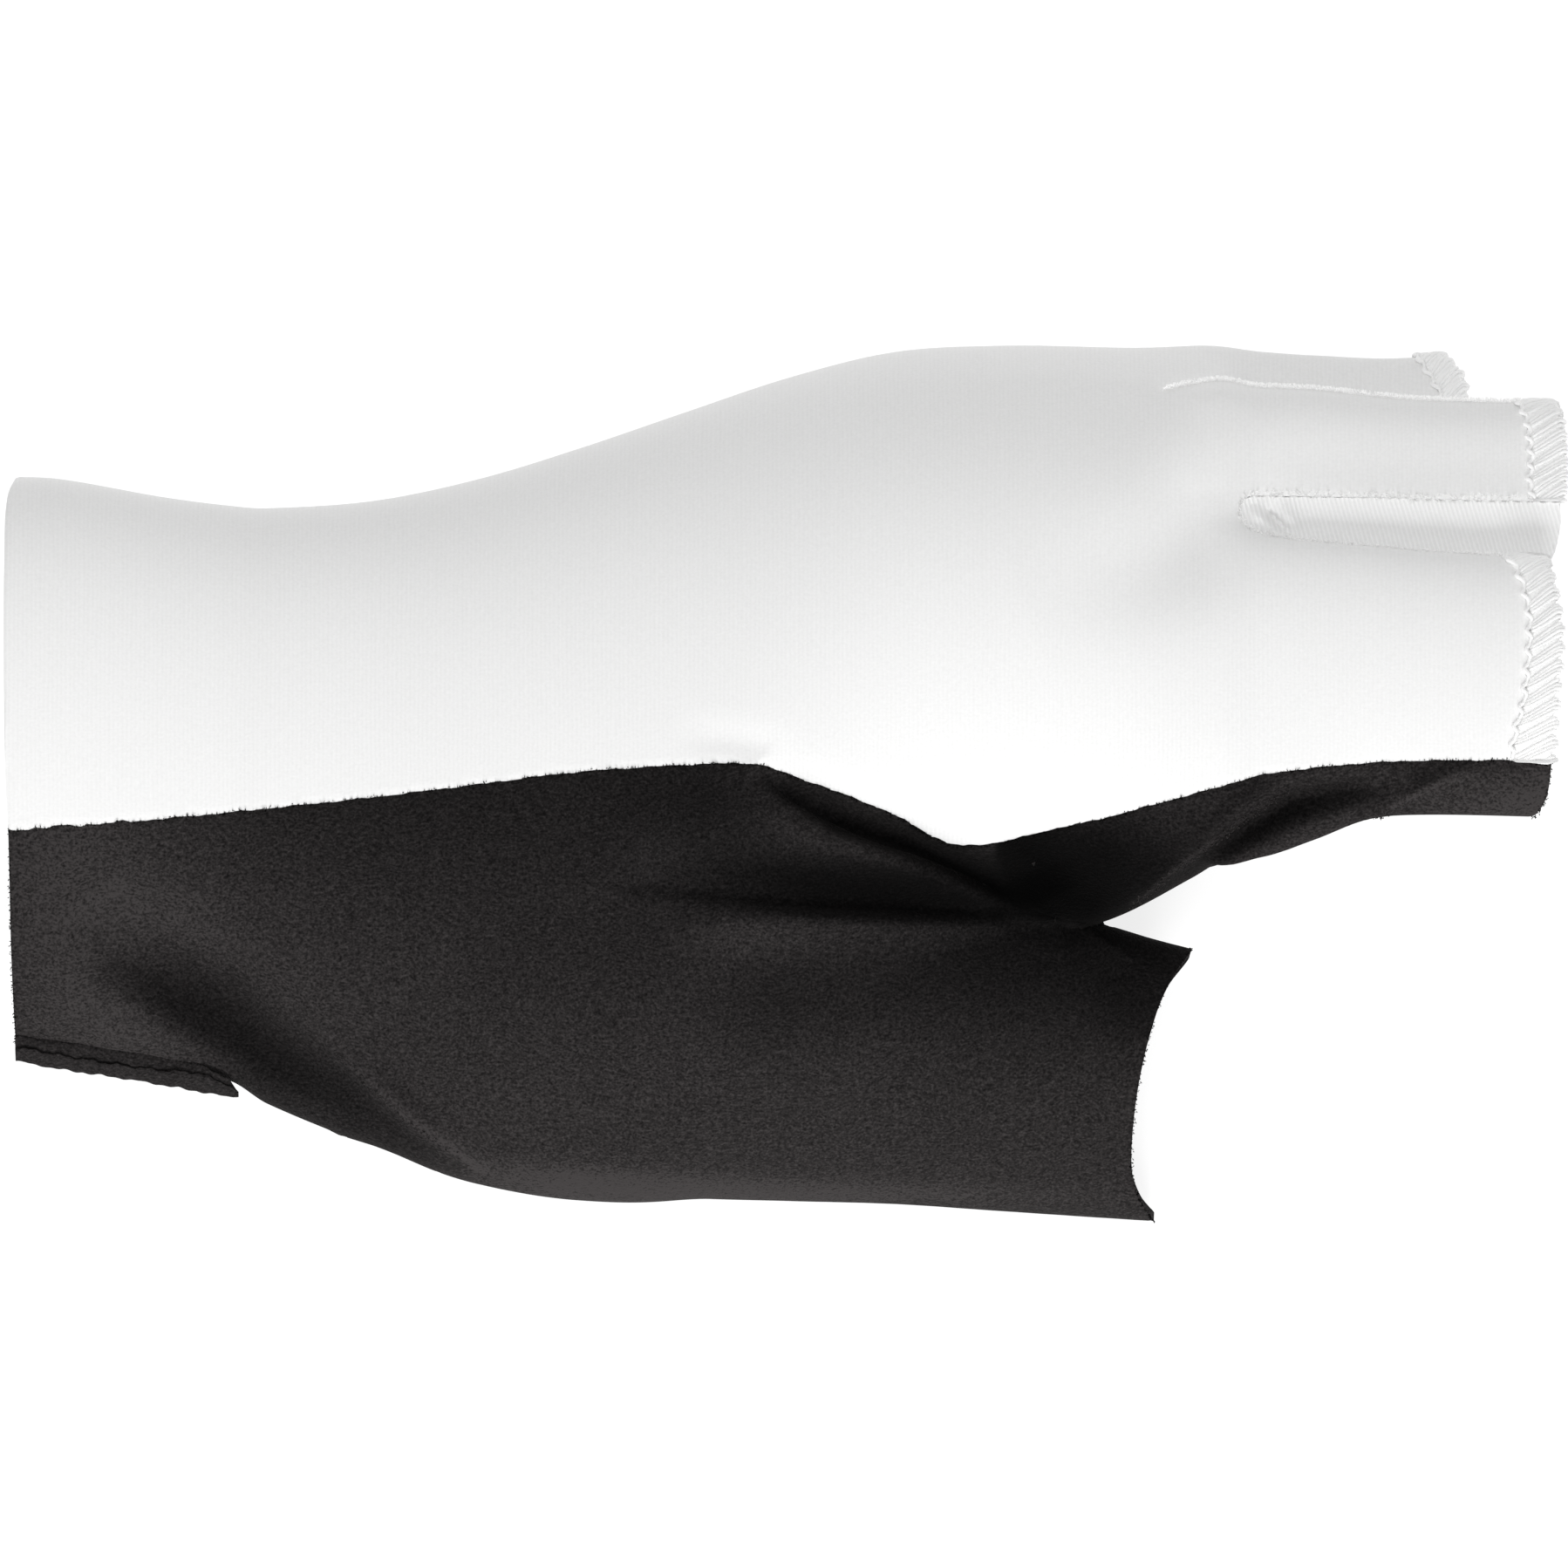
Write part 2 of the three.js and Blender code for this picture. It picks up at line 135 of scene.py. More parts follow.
def along(table, x):
    """Every column of a table at x, on a smooth curve through its rows."""
    rows = np.array(table, float)
    knots = rows[:, 0]
    number = np.arange(len(rows))
    before, after = np.maximum(number - 1, 0), np.minimum(number + 1, len(rows) - 1)
    slopes = (rows[after] - rows[before]) / (knots[after] - knots[before])[:, None]
    i = np.clip(np.searchsorted(knots, x, side="right") - 1, 0, len(rows) - 2)
    span = (knots[i + 1] - knots[i])[..., None]
    t = np.clip((np.asarray(x) - knots[i])[..., None] / span, 0, 1)
    start = (2 * t**3 - 3 * t**2 + 1) * rows[i] + (t**3 - 2 * t**2 + t) * span * slopes[i]
    end = (3 * t**2 - 2 * t**3) * rows[i + 1] + (t**3 - t**2) * span * slopes[i + 1]
    return np.moveaxis(start + end, -1, 0)[1:]


def tube(table, x, y, z):
    """Distance from the oval tube that a table describes, below zero inside it."""
    y_low, y_high, z_low, z_high, up, down = along(table, x)
    half = (y_high - y_low) / 2
    across = (y - y_low) / half - 1
    tilt = (z_high - z_low) / (2 * half)
    rise = z - (z_low + z_high) / 2 - tilt * half * across
    bulge = np.where(rise > 0, up, down)
    share = rise / bulge
    radius = np.hypot(across, share)
    steepness = np.hypot(across / half - share * tilt / bulge, share / bulge)
    return radius * (radius - 1) / np.maximum(steepness, 1e-3)


def join(a, b, rounding):
    """The union of two distances, with a soft fillet where they meet."""
    near = np.maximum(rounding - np.abs(a - b), 0) / rounding
    return np.minimum(a, b) - near * near * rounding / 4


def trim(a, b, rounding):
    """What two distances have in common, with a soft corner."""
    return -join(-a, -b, rounding)


def ramp(low, high, value):
    """0 at low, 1 at high, and a smooth change between them."""
    t = np.clip((value - low) / (high - low), 0, 1)
    return t * t * (3 - 2 * t)


# %% [markdown]
# ## Folds
# The cloth is pushed up and down where the glove creases: at the heel of the hand, in the web by the thumb
# and between the fingers. A cloth simulation would put folds where it likes. Each fold here is a line on
# the glove with a height and a width on either side of it, so that it lies where the real one does.

# %% Lay the folds
# Each fold: its points as x, y and height, its width to the left of its line and its width to the right.
HEEL = [
    (-88, -14), (-83, -20.7), (-78, -23.7), (-73.3, -27), (-69, -31), (-64.2, -34.7), (-57.2, -38.4),
    (-46.1, -45),
]
WEB = [(-3.5, 2.2), (0.5, -0.9), (6.6, -4.6), (15.4, -7.4), (26.4, -12), (33, -15)]
WEB_RIDGE = [(-4, 1), (0.5, -2.9), (6.6, -6.7), (15.4, -9.5), (19.8, -11.1), (26.4, -14.4), (31, -16.2)]
TWIST = [(43.6, -15.2), (46.2, -13.4), (49.4, -10.5), (53.7, -7.4), (58, -4.2), (63, -0.6)]
HEEL_RIDGE = [
    (-62, -29), (-57.2, -33.2), (-53, -37.4), (-48.8, -41.3), (-46, -43.7), (-41.9, -46.4),
    (-38.4, -48.9),
]
END_RIDGE = [(74.6, -4.2), (77.9, -2.3), (80.2, -1), (83.7, 0.8), (87, 1.6)]


def line(points, *heights):
    """A line of x, y and height, with the heights spread evenly over the points."""
    places = np.linspace(0, 1, len(points))
    spread = np.interp(places, np.linspace(0, 1, len(heights)), heights)
    return [(x, y, h) for (x, y), h in zip(points, spread)]


FOLDS = [
    # the diagonal valley across the heel, and the ridge below it
    (line(HEEL, -0.4, -2.6, -4.2, -5, -5, -3.2, 0), 5.5, 5),
    (line(HEEL_RIDGE, 0, 0.8, 1.4, 1, 0.2), 2.4, 0.9),
    # the sunken web between the seam and the thumb, and the sharp ridge that borders it
    (line(WEB, 0, -2.4, -4.2, -5, -4.6, 0), 3, 1.9),
    (line(WEB_RIDGE, 0.2, 1, 1.2, 0.8, 0), 0.9, 2.6),
    # the valley at the root of the thumb, and the crest below it
    ([(-22, -12, 0), (-10, -13.4, -1.6), (4, -15, -2.6), (16, -15.6, -2.8), (27, -15.8, -2.4),
      (35, -16.2, 0)], 5, 1.2),
    ([(-16, -18, 0), (0, -17.2, 0.7), (14, -16.6, 1), (30, -16.8, 0.4)], 1.4, 5),
    # the pit between the thumb and the index finger, with its upright edge
    ([(30, -4, 0), (30.5, -7, -2.6), (31.5, -11, -3.4), (33, -14.5, -1.5)], 6, 2.6),
    ([(34, -11, -1.5), (39, -14, -2.4), (43, -15.5, 0)], 4, 3),
    # the twist in the palm side of the index finger
    ([(49, -13, -0.6), (53.4, -8.9, -2.2), (58, -5.4, -3), (63.9, -2.1, -3), (70, -0.6, -1.8),
      (77, 0.4, 0)], 1.5, 2),
    (line(TWIST, 0.2, 0.5, 0.9, 1, 0.8, 0), 2, 0.8),
    (line(END_RIDGE, 0.2, 0.9, 0.9, 0.2), 1.6, 0.6),
    # soft hollows in the white back
    ([(-14, 6.2, 0), (-8, 5.6, -0.4), (-2, 4.8, -0.45), (3, 3, 0)], 2.2, 1.6),
    ([(30, 23, 0), (42, 27, -1), (52, 30.5, -1.6), (60, 32, -0.4)], 7, 7),
    ([(20, 51.5, 0), (36, 51.2, 0.5), (50, 49.6, 0.7), (60, 49, 0)], 1.8, 2),
    ([(21, 1, 0), (22, -3, -0.3), (22.5, -7, 0)], 0.8, 0.8),
    ([(26, 1, 0), (26.5, -3, -0.35), (26, -6.5, 0)], 0.9, 0.9),
    ([(38, -19, 0), (43, -24, -1.2), (46, -32, 0)], 4, 4),
    # the strip beside the index finger rises to its seam, and starts in a small tuck
    ([(58, 35.8, 0.3), (64, 35.8, 0.8), (74, 35.4, 1), (100, 35, 1)], 3.6, 4.5),
    ([(58.8, 35, 0), (59.6, 33.6, 1), (61.2, 32.2, 0.8), (63, 31.4, 0)], 1, 0.9),
    ([(60.6, 35.1, 0), (61.3, 34, -1.4), (62.6, 32.6, -1.3), (63.8, 31.4, -0.3)], 0.3, 0.8),
    ([(59.8, 32.1, 0), (60.6, 31.4, -1), (62.2, 31, -0.6), (62.9, 31.6, 0)], 0.35, 0.4),
    ([(62.6, 35.2, 0.2), (63.4, 33.6, 0.9), (64.4, 31.6, 0.6)], 0.9, 0.7),
]
FOLD_FOOT = 8  # height at which the folds begin
FOLD_FULL = 20  # height from which they have their full depth
print(len(FOLDS), "folds")

# %% Add up the folds


def stroked(lines, x, y):
    """The sum of some lines, each of which fades away on its left and on its right."""
    total = np.zeros(np.broadcast(x, y).shape)
    for points, left, right in lines:
        nearest = np.full(total.shape, np.inf)
        lift = np.zeros(total.shape)
        for (x0, y0, h0), (x1, y1, h1) in zip(points, points[1:]):
            dx, dy = x1 - x0, y1 - y0
            length2 = dx * dx + dy * dy
            t = np.clip(((x - x0) * dx + (y - y0) * dy) / length2, 0, 1)
            away = np.hypot(x - x0 - t * dx, y - y0 - t * dy)
            side = np.where(dx * (y - y0) - dy * (x - x0) > 0, left, right)
            value = (h0 + (h1 - h0) * t) * np.exp(-((away / side) ** 2))
            closer = away < nearest
            lift = np.where(closer, value, lift)
            nearest = np.where(closer, away, nearest)
        total = total + lift
    return total


def lifted(x, y, z):
    """How far the folds lift the cloth at a place on the upper side of the glove."""
    return stroked(FOLDS, x, y) * ramp(FOLD_FOOT, FOLD_FULL, z)


# %% [markdown]
# ### Joining the tubes
# Hand, thumb and fingers are joined with a soft fillet wherever the real glove has one. The fingers lie on
# each other. Only the index finger has room under it, and both sides of that gap are lined, out of sight of
# the camera. What would be below the table is cut off flat.

# %% Join the tubes
HAND_END = 58.3  # where the hand's tube closes, between the fingers
HAND_CORNER = 7  # rounding of that end
THUMB_FILLET = 6.5  # fillet where the thumb lies on the hand
THUMB_LESS = 5.3  # and what it loses
THUMB_FREE = (8, 36)  # between these places, where the thumb comes free
SLIT = 1.2  # room between the index and the middle finger
SLIT_X = 61.0  # where that room begins
SLIT_Y = 27.0  # and its edge towards the back
INDEX_FILLET = 5
FINGER_FILLET = 2.4
KNUCKLE_FILLET = 3
TABLE_CORNER = 1.5


def fingers_at(x, y, z):
    """Distance from each finger's tube, in the order of FINGERS."""
    return [np.maximum(tube(table, x, y, z), table[0][0] - x) for table in FINGERS.values()]


def skin(x, y, z):
    """Distance from the outside of the glove, below zero inside it."""
    z_flat = z - lifted(x, y, z)
    hand = trim(tube(HAND, x, y, z_flat), x - HAND_END, HAND_CORNER)
    thumb = np.maximum(tube(THUMB, x, y, z_flat), THUMB[0][0] - x)
    body = join(hand, thumb, THUMB_FILLET - THUMB_LESS * ramp(*THUMB_FREE, x))
    index, middle, ring, pinky = fingers_at(x, y, z_flat)
    gap = np.minimum(SLIT / 2 - np.abs(index - middle) / 2, np.minimum(SLIT_Y - y, x - SLIT_X))
    whole = np.maximum(join(index, middle, INDEX_FILLET), gap)
    for finger in (ring, pinky):
        whole = join(whole, finger, FINGER_FILLET)
    return trim(join(body, whole, KNUCKLE_FILLET), -z, TABLE_CORNER)


# %% [markdown]
# ## From a distance to a mesh
# A surface net turns the distance into a mesh: it puts one point in each cell of a grid that the skin
# passes through, and joins the points of neighbouring cells. It gives even, nearly square faces, which
# suits cloth better than the slivers of marching cubes. A few Newton steps then put each point on the skin.

# %% Surface net
CELL = 0.74  # spacing of the grid


def surface_net(distance, low, high, cell):
    """Points and triangles of the surface on which distance is zero."""
    axes = [np.arange(a, b + cell, cell) for a, b in zip(low, high)]
    grids = np.meshgrid(*axes, indexing="ij", sparse=True)
    field = distance(*grids)
    shape = np.array(field.shape) - 1
    total = np.zeros((*shape, 3))
    count = np.zeros(shape)
    edges = []
    for axis in range(3):
        others = [a for a in range(3) if a != axis]
        swapped = np.moveaxis(field, axis, 0)
        a, b = swapped[:-1], swapped[1:]
        crossing = (a < 0) != (b < 0)
        place = np.where(crossing, a / np.where(crossing, a - b, 1), 0)
        wide, tall = crossing.shape[1] - 1, crossing.shape[2] - 1
        for i in (0, 1):
            for j in (0, 1):
                part = (slice(None), slice(i, wide + i), slice(j, tall + j))
                here = crossing[part].astype(float)
                offsets = {axis: place[part], others[0]: i * here, others[1]: j * here}
                count += np.moveaxis(here, 0, axis)
                for which, offset in offsets.items():
                    total[..., which] += np.moveaxis(offset, 0, axis)
        edges.append((axis, others, crossing, a < 0))
    used = count > 0
    number = np.full(used.shape, -1)
    number[used] = np.arange(used.sum())
    points = np.array(low) + cell * (np.argwhere(used) + total[used] / count[used][:, None])
    quads = []
    for axis, others, crossing, inside in edges:
        inner = crossing[:, 1:-1, 1:-1]
        at = np.argwhere(inner) + [0, 1, 1]
        first = inside[tuple(at.T)]
        turned = np.moveaxis(number, axis, 0)
        around = ((1, 1), (0, 1), (0, 0), (1, 0))
        quad = np.stack([turned[at[:, 0], at[:, 1] - i, at[:, 2] - j] for i, j in around], 1)
        if axis == 1:
            first = ~first
        quad[~first] = quad[~first][:, ::-1]
        quads.append(quad)
    quads = np.concatenate(quads)
    return points, np.concatenate([quads[:, [0, 1, 2]], quads[:, [0, 2, 3]]])


# %% Net the skin
MARGIN = 1.6  # room around the glove in the grid
FLATTEST = 0.05  # squared slope below which a step would go too far


def slope_of(distance, points, step=0.05):
    """The gradient of a distance at some points."""
    slopes = []
    for axis in range(3):
        shift = np.zeros(3)
        shift[axis] = step
        ahead = distance(*(points + shift).T)
        behind = distance(*(points - shift).T)
        slopes.append((ahead - behind) / (2 * step))
    return np.stack(slopes, 1)


def onto(distance, points, level=0.0, rounds=3):
    """Points moved along the gradient until their distance is level."""
    for _ in range(rounds):
        slope = slope_of(distance, points)
        size = np.maximum((slope**2).sum(1), FLATTEST)
        move = (distance(*points.T) - level) / size
        points = points - np.clip(move, -CELL, CELL)[:, None] * slope
    return points


low = [v * 1000 - MARGIN for v in cad_low]
high = [v * 1000 + MARGIN for v in cad_high]
points, triangles = surface_net(skin, low, high, CELL)
points = onto(skin, points, rounds=2)
print(len(points), "points and", len(triangles), "triangles on the skin")

# %% [markdown]
# ## Cutting the cloth
# The skin is now cut along the lines where the real glove is cut or sewn. Cutting the mesh itself, with new
# points on each line, gives clean edges; a mask in a material would leave one closed bag instead of panels.

# %% Cutting tool
ON_LINE = 1e-3  # points this near to the line are taken to lie on it


def from_corners(parts):
    """Triangles from three columns of point numbers each."""
    return np.concatenate([np.stack(part, 1) for part in parts])


def cut(points, triangles, level):
    """Splits the triangles along the line on which level is zero."""
    value = np.where(np.abs(level) < ON_LINE, 0, level)
    sign = np.sign(value)
    corner = sign[triangles]
    mixed = (corner.min(1) < 0) & (corner.max(1) > 0)
    whole, work = triangles[~mixed], triangles[mixed]
    corner = corner[mixed]
    through = (corner == 0).any(1)
    alone = corner == -np.sign(corner.sum(1))[:, None]
    odd = np.where(through, (corner == 0).argmax(1), alone.argmax(1))
    turned = np.stack([work[np.arange(len(work)), (odd + k) % 3] for k in range(3)], 1)
    a, b, c = turned.T
    ab, ac, bc = np.stack([a, b], 1), np.stack([a, c], 1), np.stack([b, c], 1)
    pairs = np.concatenate([ab[~through], ac[~through], bc[through]])
    unique, back = np.unique(np.sort(pairs, 1), axis=0, return_inverse=True)
    back = back.reshape(-1) + len(points)
    v0, v1 = value[unique[:, 0]], value[unique[:, 1]]
    t = (v0 / (v0 - v1))[:, None]
    points = np.concatenate([points, points[unique[:, 0]] * (1 - t) + points[unique[:, 1]] * t])
    n = (~through).sum()
    p, q, r = back[:n], back[n : 2 * n], back[2 * n :]
    a0, b0, c0 = turned[~through].T
    a1, b1, c1 = turned[through].T
    parts = [(a0, p, q), (p, b0, c0), (p, c0, q), (a1, b1, r), (a1, r, c1)]
    return points, np.concatenate([whole, from_corners(parts)])


def middles(points, triangles):
    """The centre of each triangle."""
    return points[triangles].mean(1)


# %% [markdown]
# ### Open ends
# The cuff is cut a little slanted, each finger ends square with rounded corners, and the end of the thumb
# is hollowed. Each end is a curve of X against Y. What lies past it is thrown away.

# %% Cut the open ends
# Each edge and each border of a hem: Y and X of its points.
CUFF_EDGE = [
    [-40, -97], [-35, -97.1], [-22, -97.5], [-6, -97.8], [0, -98.1], [16, -98.4], [28, -98.4],
    [36.5, -98.1], [40, -96.6],
]
THUMB_EDGE = [
    [-58, 47.8], [-55.6, 47], [-53, 45.2], [-49.5, 44.1], [-45, 44], [-38, 44.8], [-31, 46.4],
    [-25, 48.6], [-21, 51.4], [-18, 52.6],
]
FINGER_EDGES = {
    "index": [
        [-7, 92], [-4.4, 93.5], [-3.9, 94.4], [-1.7, 95.7], [2.7, 96.3], [6, 96.4], [12, 96.8],
        [18, 97.3], [22, 97], [26, 96.2], [30, 95.2],
    ],
    "middle": [
        [16, 95.6], [27.7, 96], [29, 96.9], [33, 97.7], [35.5, 97.6], [37, 98], [42, 98.1],
        [46, 97.6], [48, 96.9], [50, 96],
    ],
    "ring": [[22, 84.5], [44, 85.6], [48, 85.9], [51.5, 85.4], [54, 83.4], [55, 82.4]],
    "pinky": [[20, 75], [24, 75.7], [44, 75.9], [47, 75.6], [49, 74.8]],
}
HEM_BORDERS = {
    "index": [
        [-6, 91], [3.3, 91.3], [7.7, 92.1], [10.1, 92.8], [15.4, 93.4], [20, 93.6], [22, 93.4],
        [25.3, 92.6], [27.3, 91.6], [28.8, 90], [30, 89.4],
    ],
    "middle": [
        [17, 93.2], [36.2, 94.2], [37.6, 93.8], [40.9, 94.05], [44.3, 93.7], [45.9, 93.4],
        [47.6, 92.6], [49, 92],
    ],
    "ring": [[22, 81.5], [46, 83.4], [48.4, 83.2], [51, 82], [53.7, 80.3], [55, 79.6]],
    "pinky": [[20, 71.4], [44, 71.6], [49, 70.8]],
}
THUMB_SIDE = -17.9  # only the thumb reaches below this Y beyond its root


def nearest_finger(p):
    """The number of the finger whose tube each point is nearest to."""
    x, y, z = p.T
    return np.argmin(np.stack(fingers_at(x, y, z - lifted(x, y, z))), 0)


def past_line(p, lines):
    """How far each point is past a line across its finger."""
    places = np.stack([along(line, p[:, 1])[0] for line in lines.values()])
    return p[:, 0] - places[nearest_finger(p), np.arange(len(p))]


def past_finger(p):
    """How far each point is past the end of its finger."""
    return past_line(p, FINGER_EDGES)


def past_cuff(p):
    """How far each point is past the end of the cuff."""
    return along(CUFF_EDGE, p[:, 1])[0] - p[:, 0]


def past_thumb(p):
    """How far each point is past the end of the thumb."""
    beyond = p[:, 0] - along(THUMB_EDGE, p[:, 1])[0]
    return np.where(p[:, 1] < THUMB_SIDE, beyond, -1.0)


for past in (past_cuff, past_finger, past_thumb):
    points, triangles = cut(points, triangles, past(points))
    triangles = triangles[past(middles(points, triangles)) < 0]
print(len(triangles), "triangles inside the open ends")

# %% [markdown]
# ### Seams
# The back and the palm meet in a seam that wanders up the thumb side of the glove, and the thumb is a panel
# of its own. Both seams are tables of Y against X, one column for each height above the table.

# %% Cut the seams
SEAM_HEIGHTS = [0, 17, 29, 35.5, 39]
SEAM = [
    [-105, -6.3, -6.3, -6.3, -6.3, -6.3],
    [-91.7, -5.4, -5.4, -5.4, -5.4, -5.4],
    [-78, -4, -4.2, -4.4, -4.4, -4.4],
    [-65, -2.4, -2.9, -3.1, -3.1, -3.1],
    [-52, 0, -1, -1.7, -1.7, -1.7],
    [-39, 2.4, 0.9, -0.1, -0.1, -0.1],
    [-26, 5, 3, 1.5, 1.5, 1.5],
    [-12.5, 8, 5, 2.4, 2.4, 2.4],
    [-6, 9, 6, 2.6, 2.6, 2.6],
    [-3, 10, 6.2, 2.4, 2.4, 2.4],
    [0.7, 11, 6, 1.2, 1.1, 1.1],
    [7.3, 13, 6, -0.8, -1.3, -1.3],
    [13.9, 15, 6, -2, -3.8, -4.0],
    [19.5, 16.5, 6.6, -3.6, -7, -7.2],
    [22, 17, 7, -4, -7.8, -7.8],
    [27.1, 18, 8, -4, -7.4, -7.4],
    [33.7, 19.5, 11, -1, -5.8, -5.8],
    [40.3, 21, 15, 2, -4.3, -4.3],
    [46.9, 22.6, 19, 8, -1.6, -2.5],
    [53.5, 24, 24, 16, 3, -0.7],
    [60, 25.5, 28, 22, 8, 1.1],
    [66.7, 25.5, 28, 22, 9.4, 2.0],
    [73.3, 25.5, 28, 22, 10, 2.6],
    [80, 25.5, 28, 22, 10, 2.9],
    [92, 25.5, 28, 22, 10, 2.9],
    [97, 25.5, 28, 22, 10, 2.4],
]
# Each row: x, the lowest height outside, Y below, the height inside and Y above.
THUMB_SEAM = [
    [-105, 12, -20, 13, 20],
    [-52, 12, -30, 13, 20],
    [-39, 10, -43, 13, 20],
    [-26, -8, -43, 14, 20],
    [-12.5, -8, -36, 16, 14],
    [-5, -8, -32, 17, 6],
    [-1, -8, -29.8, 18, -0.5],
    [4, -8, -27.6, 18, -3.8],
    [11, -8, -25, 18, -7.1],
    [18, -8, -22.8, 18, -9.4],
    [25, -8, -21, 18, -12.4],
    [32, -8, -19.5, 18, -16.2],
    [38, -8, -18.4, 18, -17.6],
    [44, -8, -18, 18, -18],
    [70, -8, -16, 18, -16],
]
WANDER = 0.05  # how far the hand-guided seam strays


def seam_offset(p):
    """How far each point lies on the white side of the back seam, in Y."""
    columns = along(SEAM, p[:, 0])
    share = np.interp(p[:, 2], SEAM_HEIGHTS, np.arange(len(SEAM_HEIGHTS)))
    below = np.minimum(share.astype(int), len(SEAM_HEIGHTS) - 2)
    each = np.arange(len(p))
    part = share - below
    y = columns[below, each] * (1 - part) + columns[below + 1, each] * part
    x = p[:, 0]
    # three waves that never fall together make an uneven line
    stray = np.sin(x * 0.83 + 2) + 0.8 * np.sin(x * 1.71) + 0.7 * np.sin(x * 2.93 + 1)
    near_cuff = 1 + 1.6 * ramp(-70, -92, x)
    return p[:, 1] - y - WANDER * near_cuff * stray


def thumb_offset(p):
    """Below zero on the thumb's panel and on the upper half of the wrist."""
    z_outer, y_under, z_inside, y_top = along(THUMB_SEAM, p[:, 0])
    x, y, z = p.T
    outer = np.maximum(z_outer - z, y - y_under)
    upper = np.maximum(z_inside - z, y - y_top)
    return np.minimum(outer, upper)


points, triangles = cut(points, triangles, seam_offset(points))
white = seam_offset(middles(points, triangles)) > 0
back, black = triangles[white], triangles[~white]
points, black = cut(points, black, thumb_offset(points))
on_thumb = thumb_offset(middles(points, black)) < 0
panels = {"thumb_panel": black[on_thumb], "palm_panel": black[~on_thumb]}
print("thumb", on_thumb.sum(), "palm", (~on_thumb).sum(), "back", len(back))

# %% [markdown]
# ### Strips and bands
# Between two fingers a narrow strip of knit is let in, which starts at a rounded end where the fingers
# part. Past a slightly uneven line near the fingertips the edge is overlocked, and becomes a band.

# %% Cut the strips and the bands
# Each strip: its lowest and highest height, its edge towards the back at both ends, and how far its start
# is shifted.
STRIPS = {
    "strip_index_middle": [29.15, 39.7, 36.3, 35.5, 0],
    "strip_middle_ring": [16.85, 28.85, 47, 46.4, 1],
    "strip_ring_pinky": [5.15, 16.55, 46.4, 45.6, 1],
}
STRIP_ENDS = [58, 98]
# The rounded end of a strip: Y and X of its points.
STRIP_START = [[24, 68], [28, 65], [30.3, 61.5], [31, 59.7], [32, 58.3], [34, 57.3], [40, 57.4]]
STRIP_CORNER = 2.2


def strip_offset(p, strip):
    """Below zero on the strip."""
    z_low, z_high, y_start, y_end, shift = strip
    x, y, z = p.T
    z = z - lifted(x, y, z)
    edge = np.interp(x, STRIP_ENDS, [y_start, y_end])
    start = along(STRIP_START, y)[0] + shift
    outline = trim(y - edge, start - x, STRIP_CORNER)
    return np.maximum(np.maximum(z_low - z, z - z_high), outline)


def hem_offset(p):
    """Above zero on the overlocked band."""
    return past_line(p, HEM_BORDERS)


for name, strip in STRIPS.items():
    points, back = cut(points, back, strip_offset(points, strip))
    inside = strip_offset(middles(points, back), strip) < 0
    panels[name], back = back[inside], back[~inside]
points, back = cut(points, back, hem_offset(points))
inside = hem_offset(middles(points, back)) > 0
hems, panels["back_panel"] = back[inside], back[~inside]
finger_of = nearest_finger(middles(points, hems))
for number, finger in enumerate(FINGERS):
    panels[f"hem_{finger}"] = hems[finger_of == number]
for name, part in panels.items():
    print(name, len(part), "triangles")

# %% [markdown]
# ## Giving the cloth its thickness
# Each panel becomes a closed shell: its outside, the same surface moved inwards by the thickness of the
# cloth, and a rim. Blender's Solidify would do, but the direction is known exactly from the distance.

# %% Parts of a mesh
MM = 0.001


def edges_of(triangles):
    """The three edges of each triangle, all first edges first."""
    return np.concatenate([triangles[:, [0, 1]], triangles[:, [1, 2]], triangles[:, [2, 0]]])


def refine(points, triangles):
    """Every triangle cut into four."""
    unique, back = np.unique(np.sort(edges_of(triangles), 1), axis=0, return_inverse=True)
    back = back.reshape(-1) + len(points)
    points = np.concatenate([points, points[unique].mean(1)])
    ab, bc, ca = back.reshape(3, -1)
    a, b, c = triangles.T
    parts = [(a, ab, ca), (ab, b, bc), (ca, bc, c), (ab, bc, ca)]
    return points, from_corners(parts)


def own_points(points, triangles):
    """The points that some triangles use, and the triangles renumbered to them."""
    used, back = np.unique(triangles, return_inverse=True)
    return points[used], back.reshape(-1, 3)


def rim_of(triangles):
    """The edges that belong to one triangle, in its direction."""
    edges = edges_of(triangles)
    _, first, count = np.unique(np.sort(edges, 1), axis=0, return_index=True, return_counts=True)
    return edges[first[count == 1]]


def mesh_object(name, points, triangles, attributes=None):
    """A Blender object from points in millimetres and triangles."""
    mesh = bpy.data.meshes.new(name)
    mesh.vertices.add(len(points))
    mesh.vertices.foreach_set("co", (points * MM).astype(np.float32).ravel())
    mesh.loops.add(3 * len(triangles))
    mesh.loops.foreach_set("vertex_index", triangles.astype(np.int32).ravel())
    mesh.polygons.add(len(triangles))
    mesh.polygons.foreach_set("loop_start", np.arange(0, 3 * len(triangles), 3, dtype=np.int32))
    mesh.polygons.foreach_set("use_smooth", np.ones(len(triangles), bool))
    mesh.update(calc_edges=True)
    mesh.validate()
    for title, values in (attributes or {}).items():
        layer = mesh.attributes.new(title, "FLOAT", "POINT")
        layer.data.foreach_set("value", values.astype(np.float32))
    made = bpy.data.objects.new(name, mesh)
    bpy.context.collection.objects.link(made)
    return made
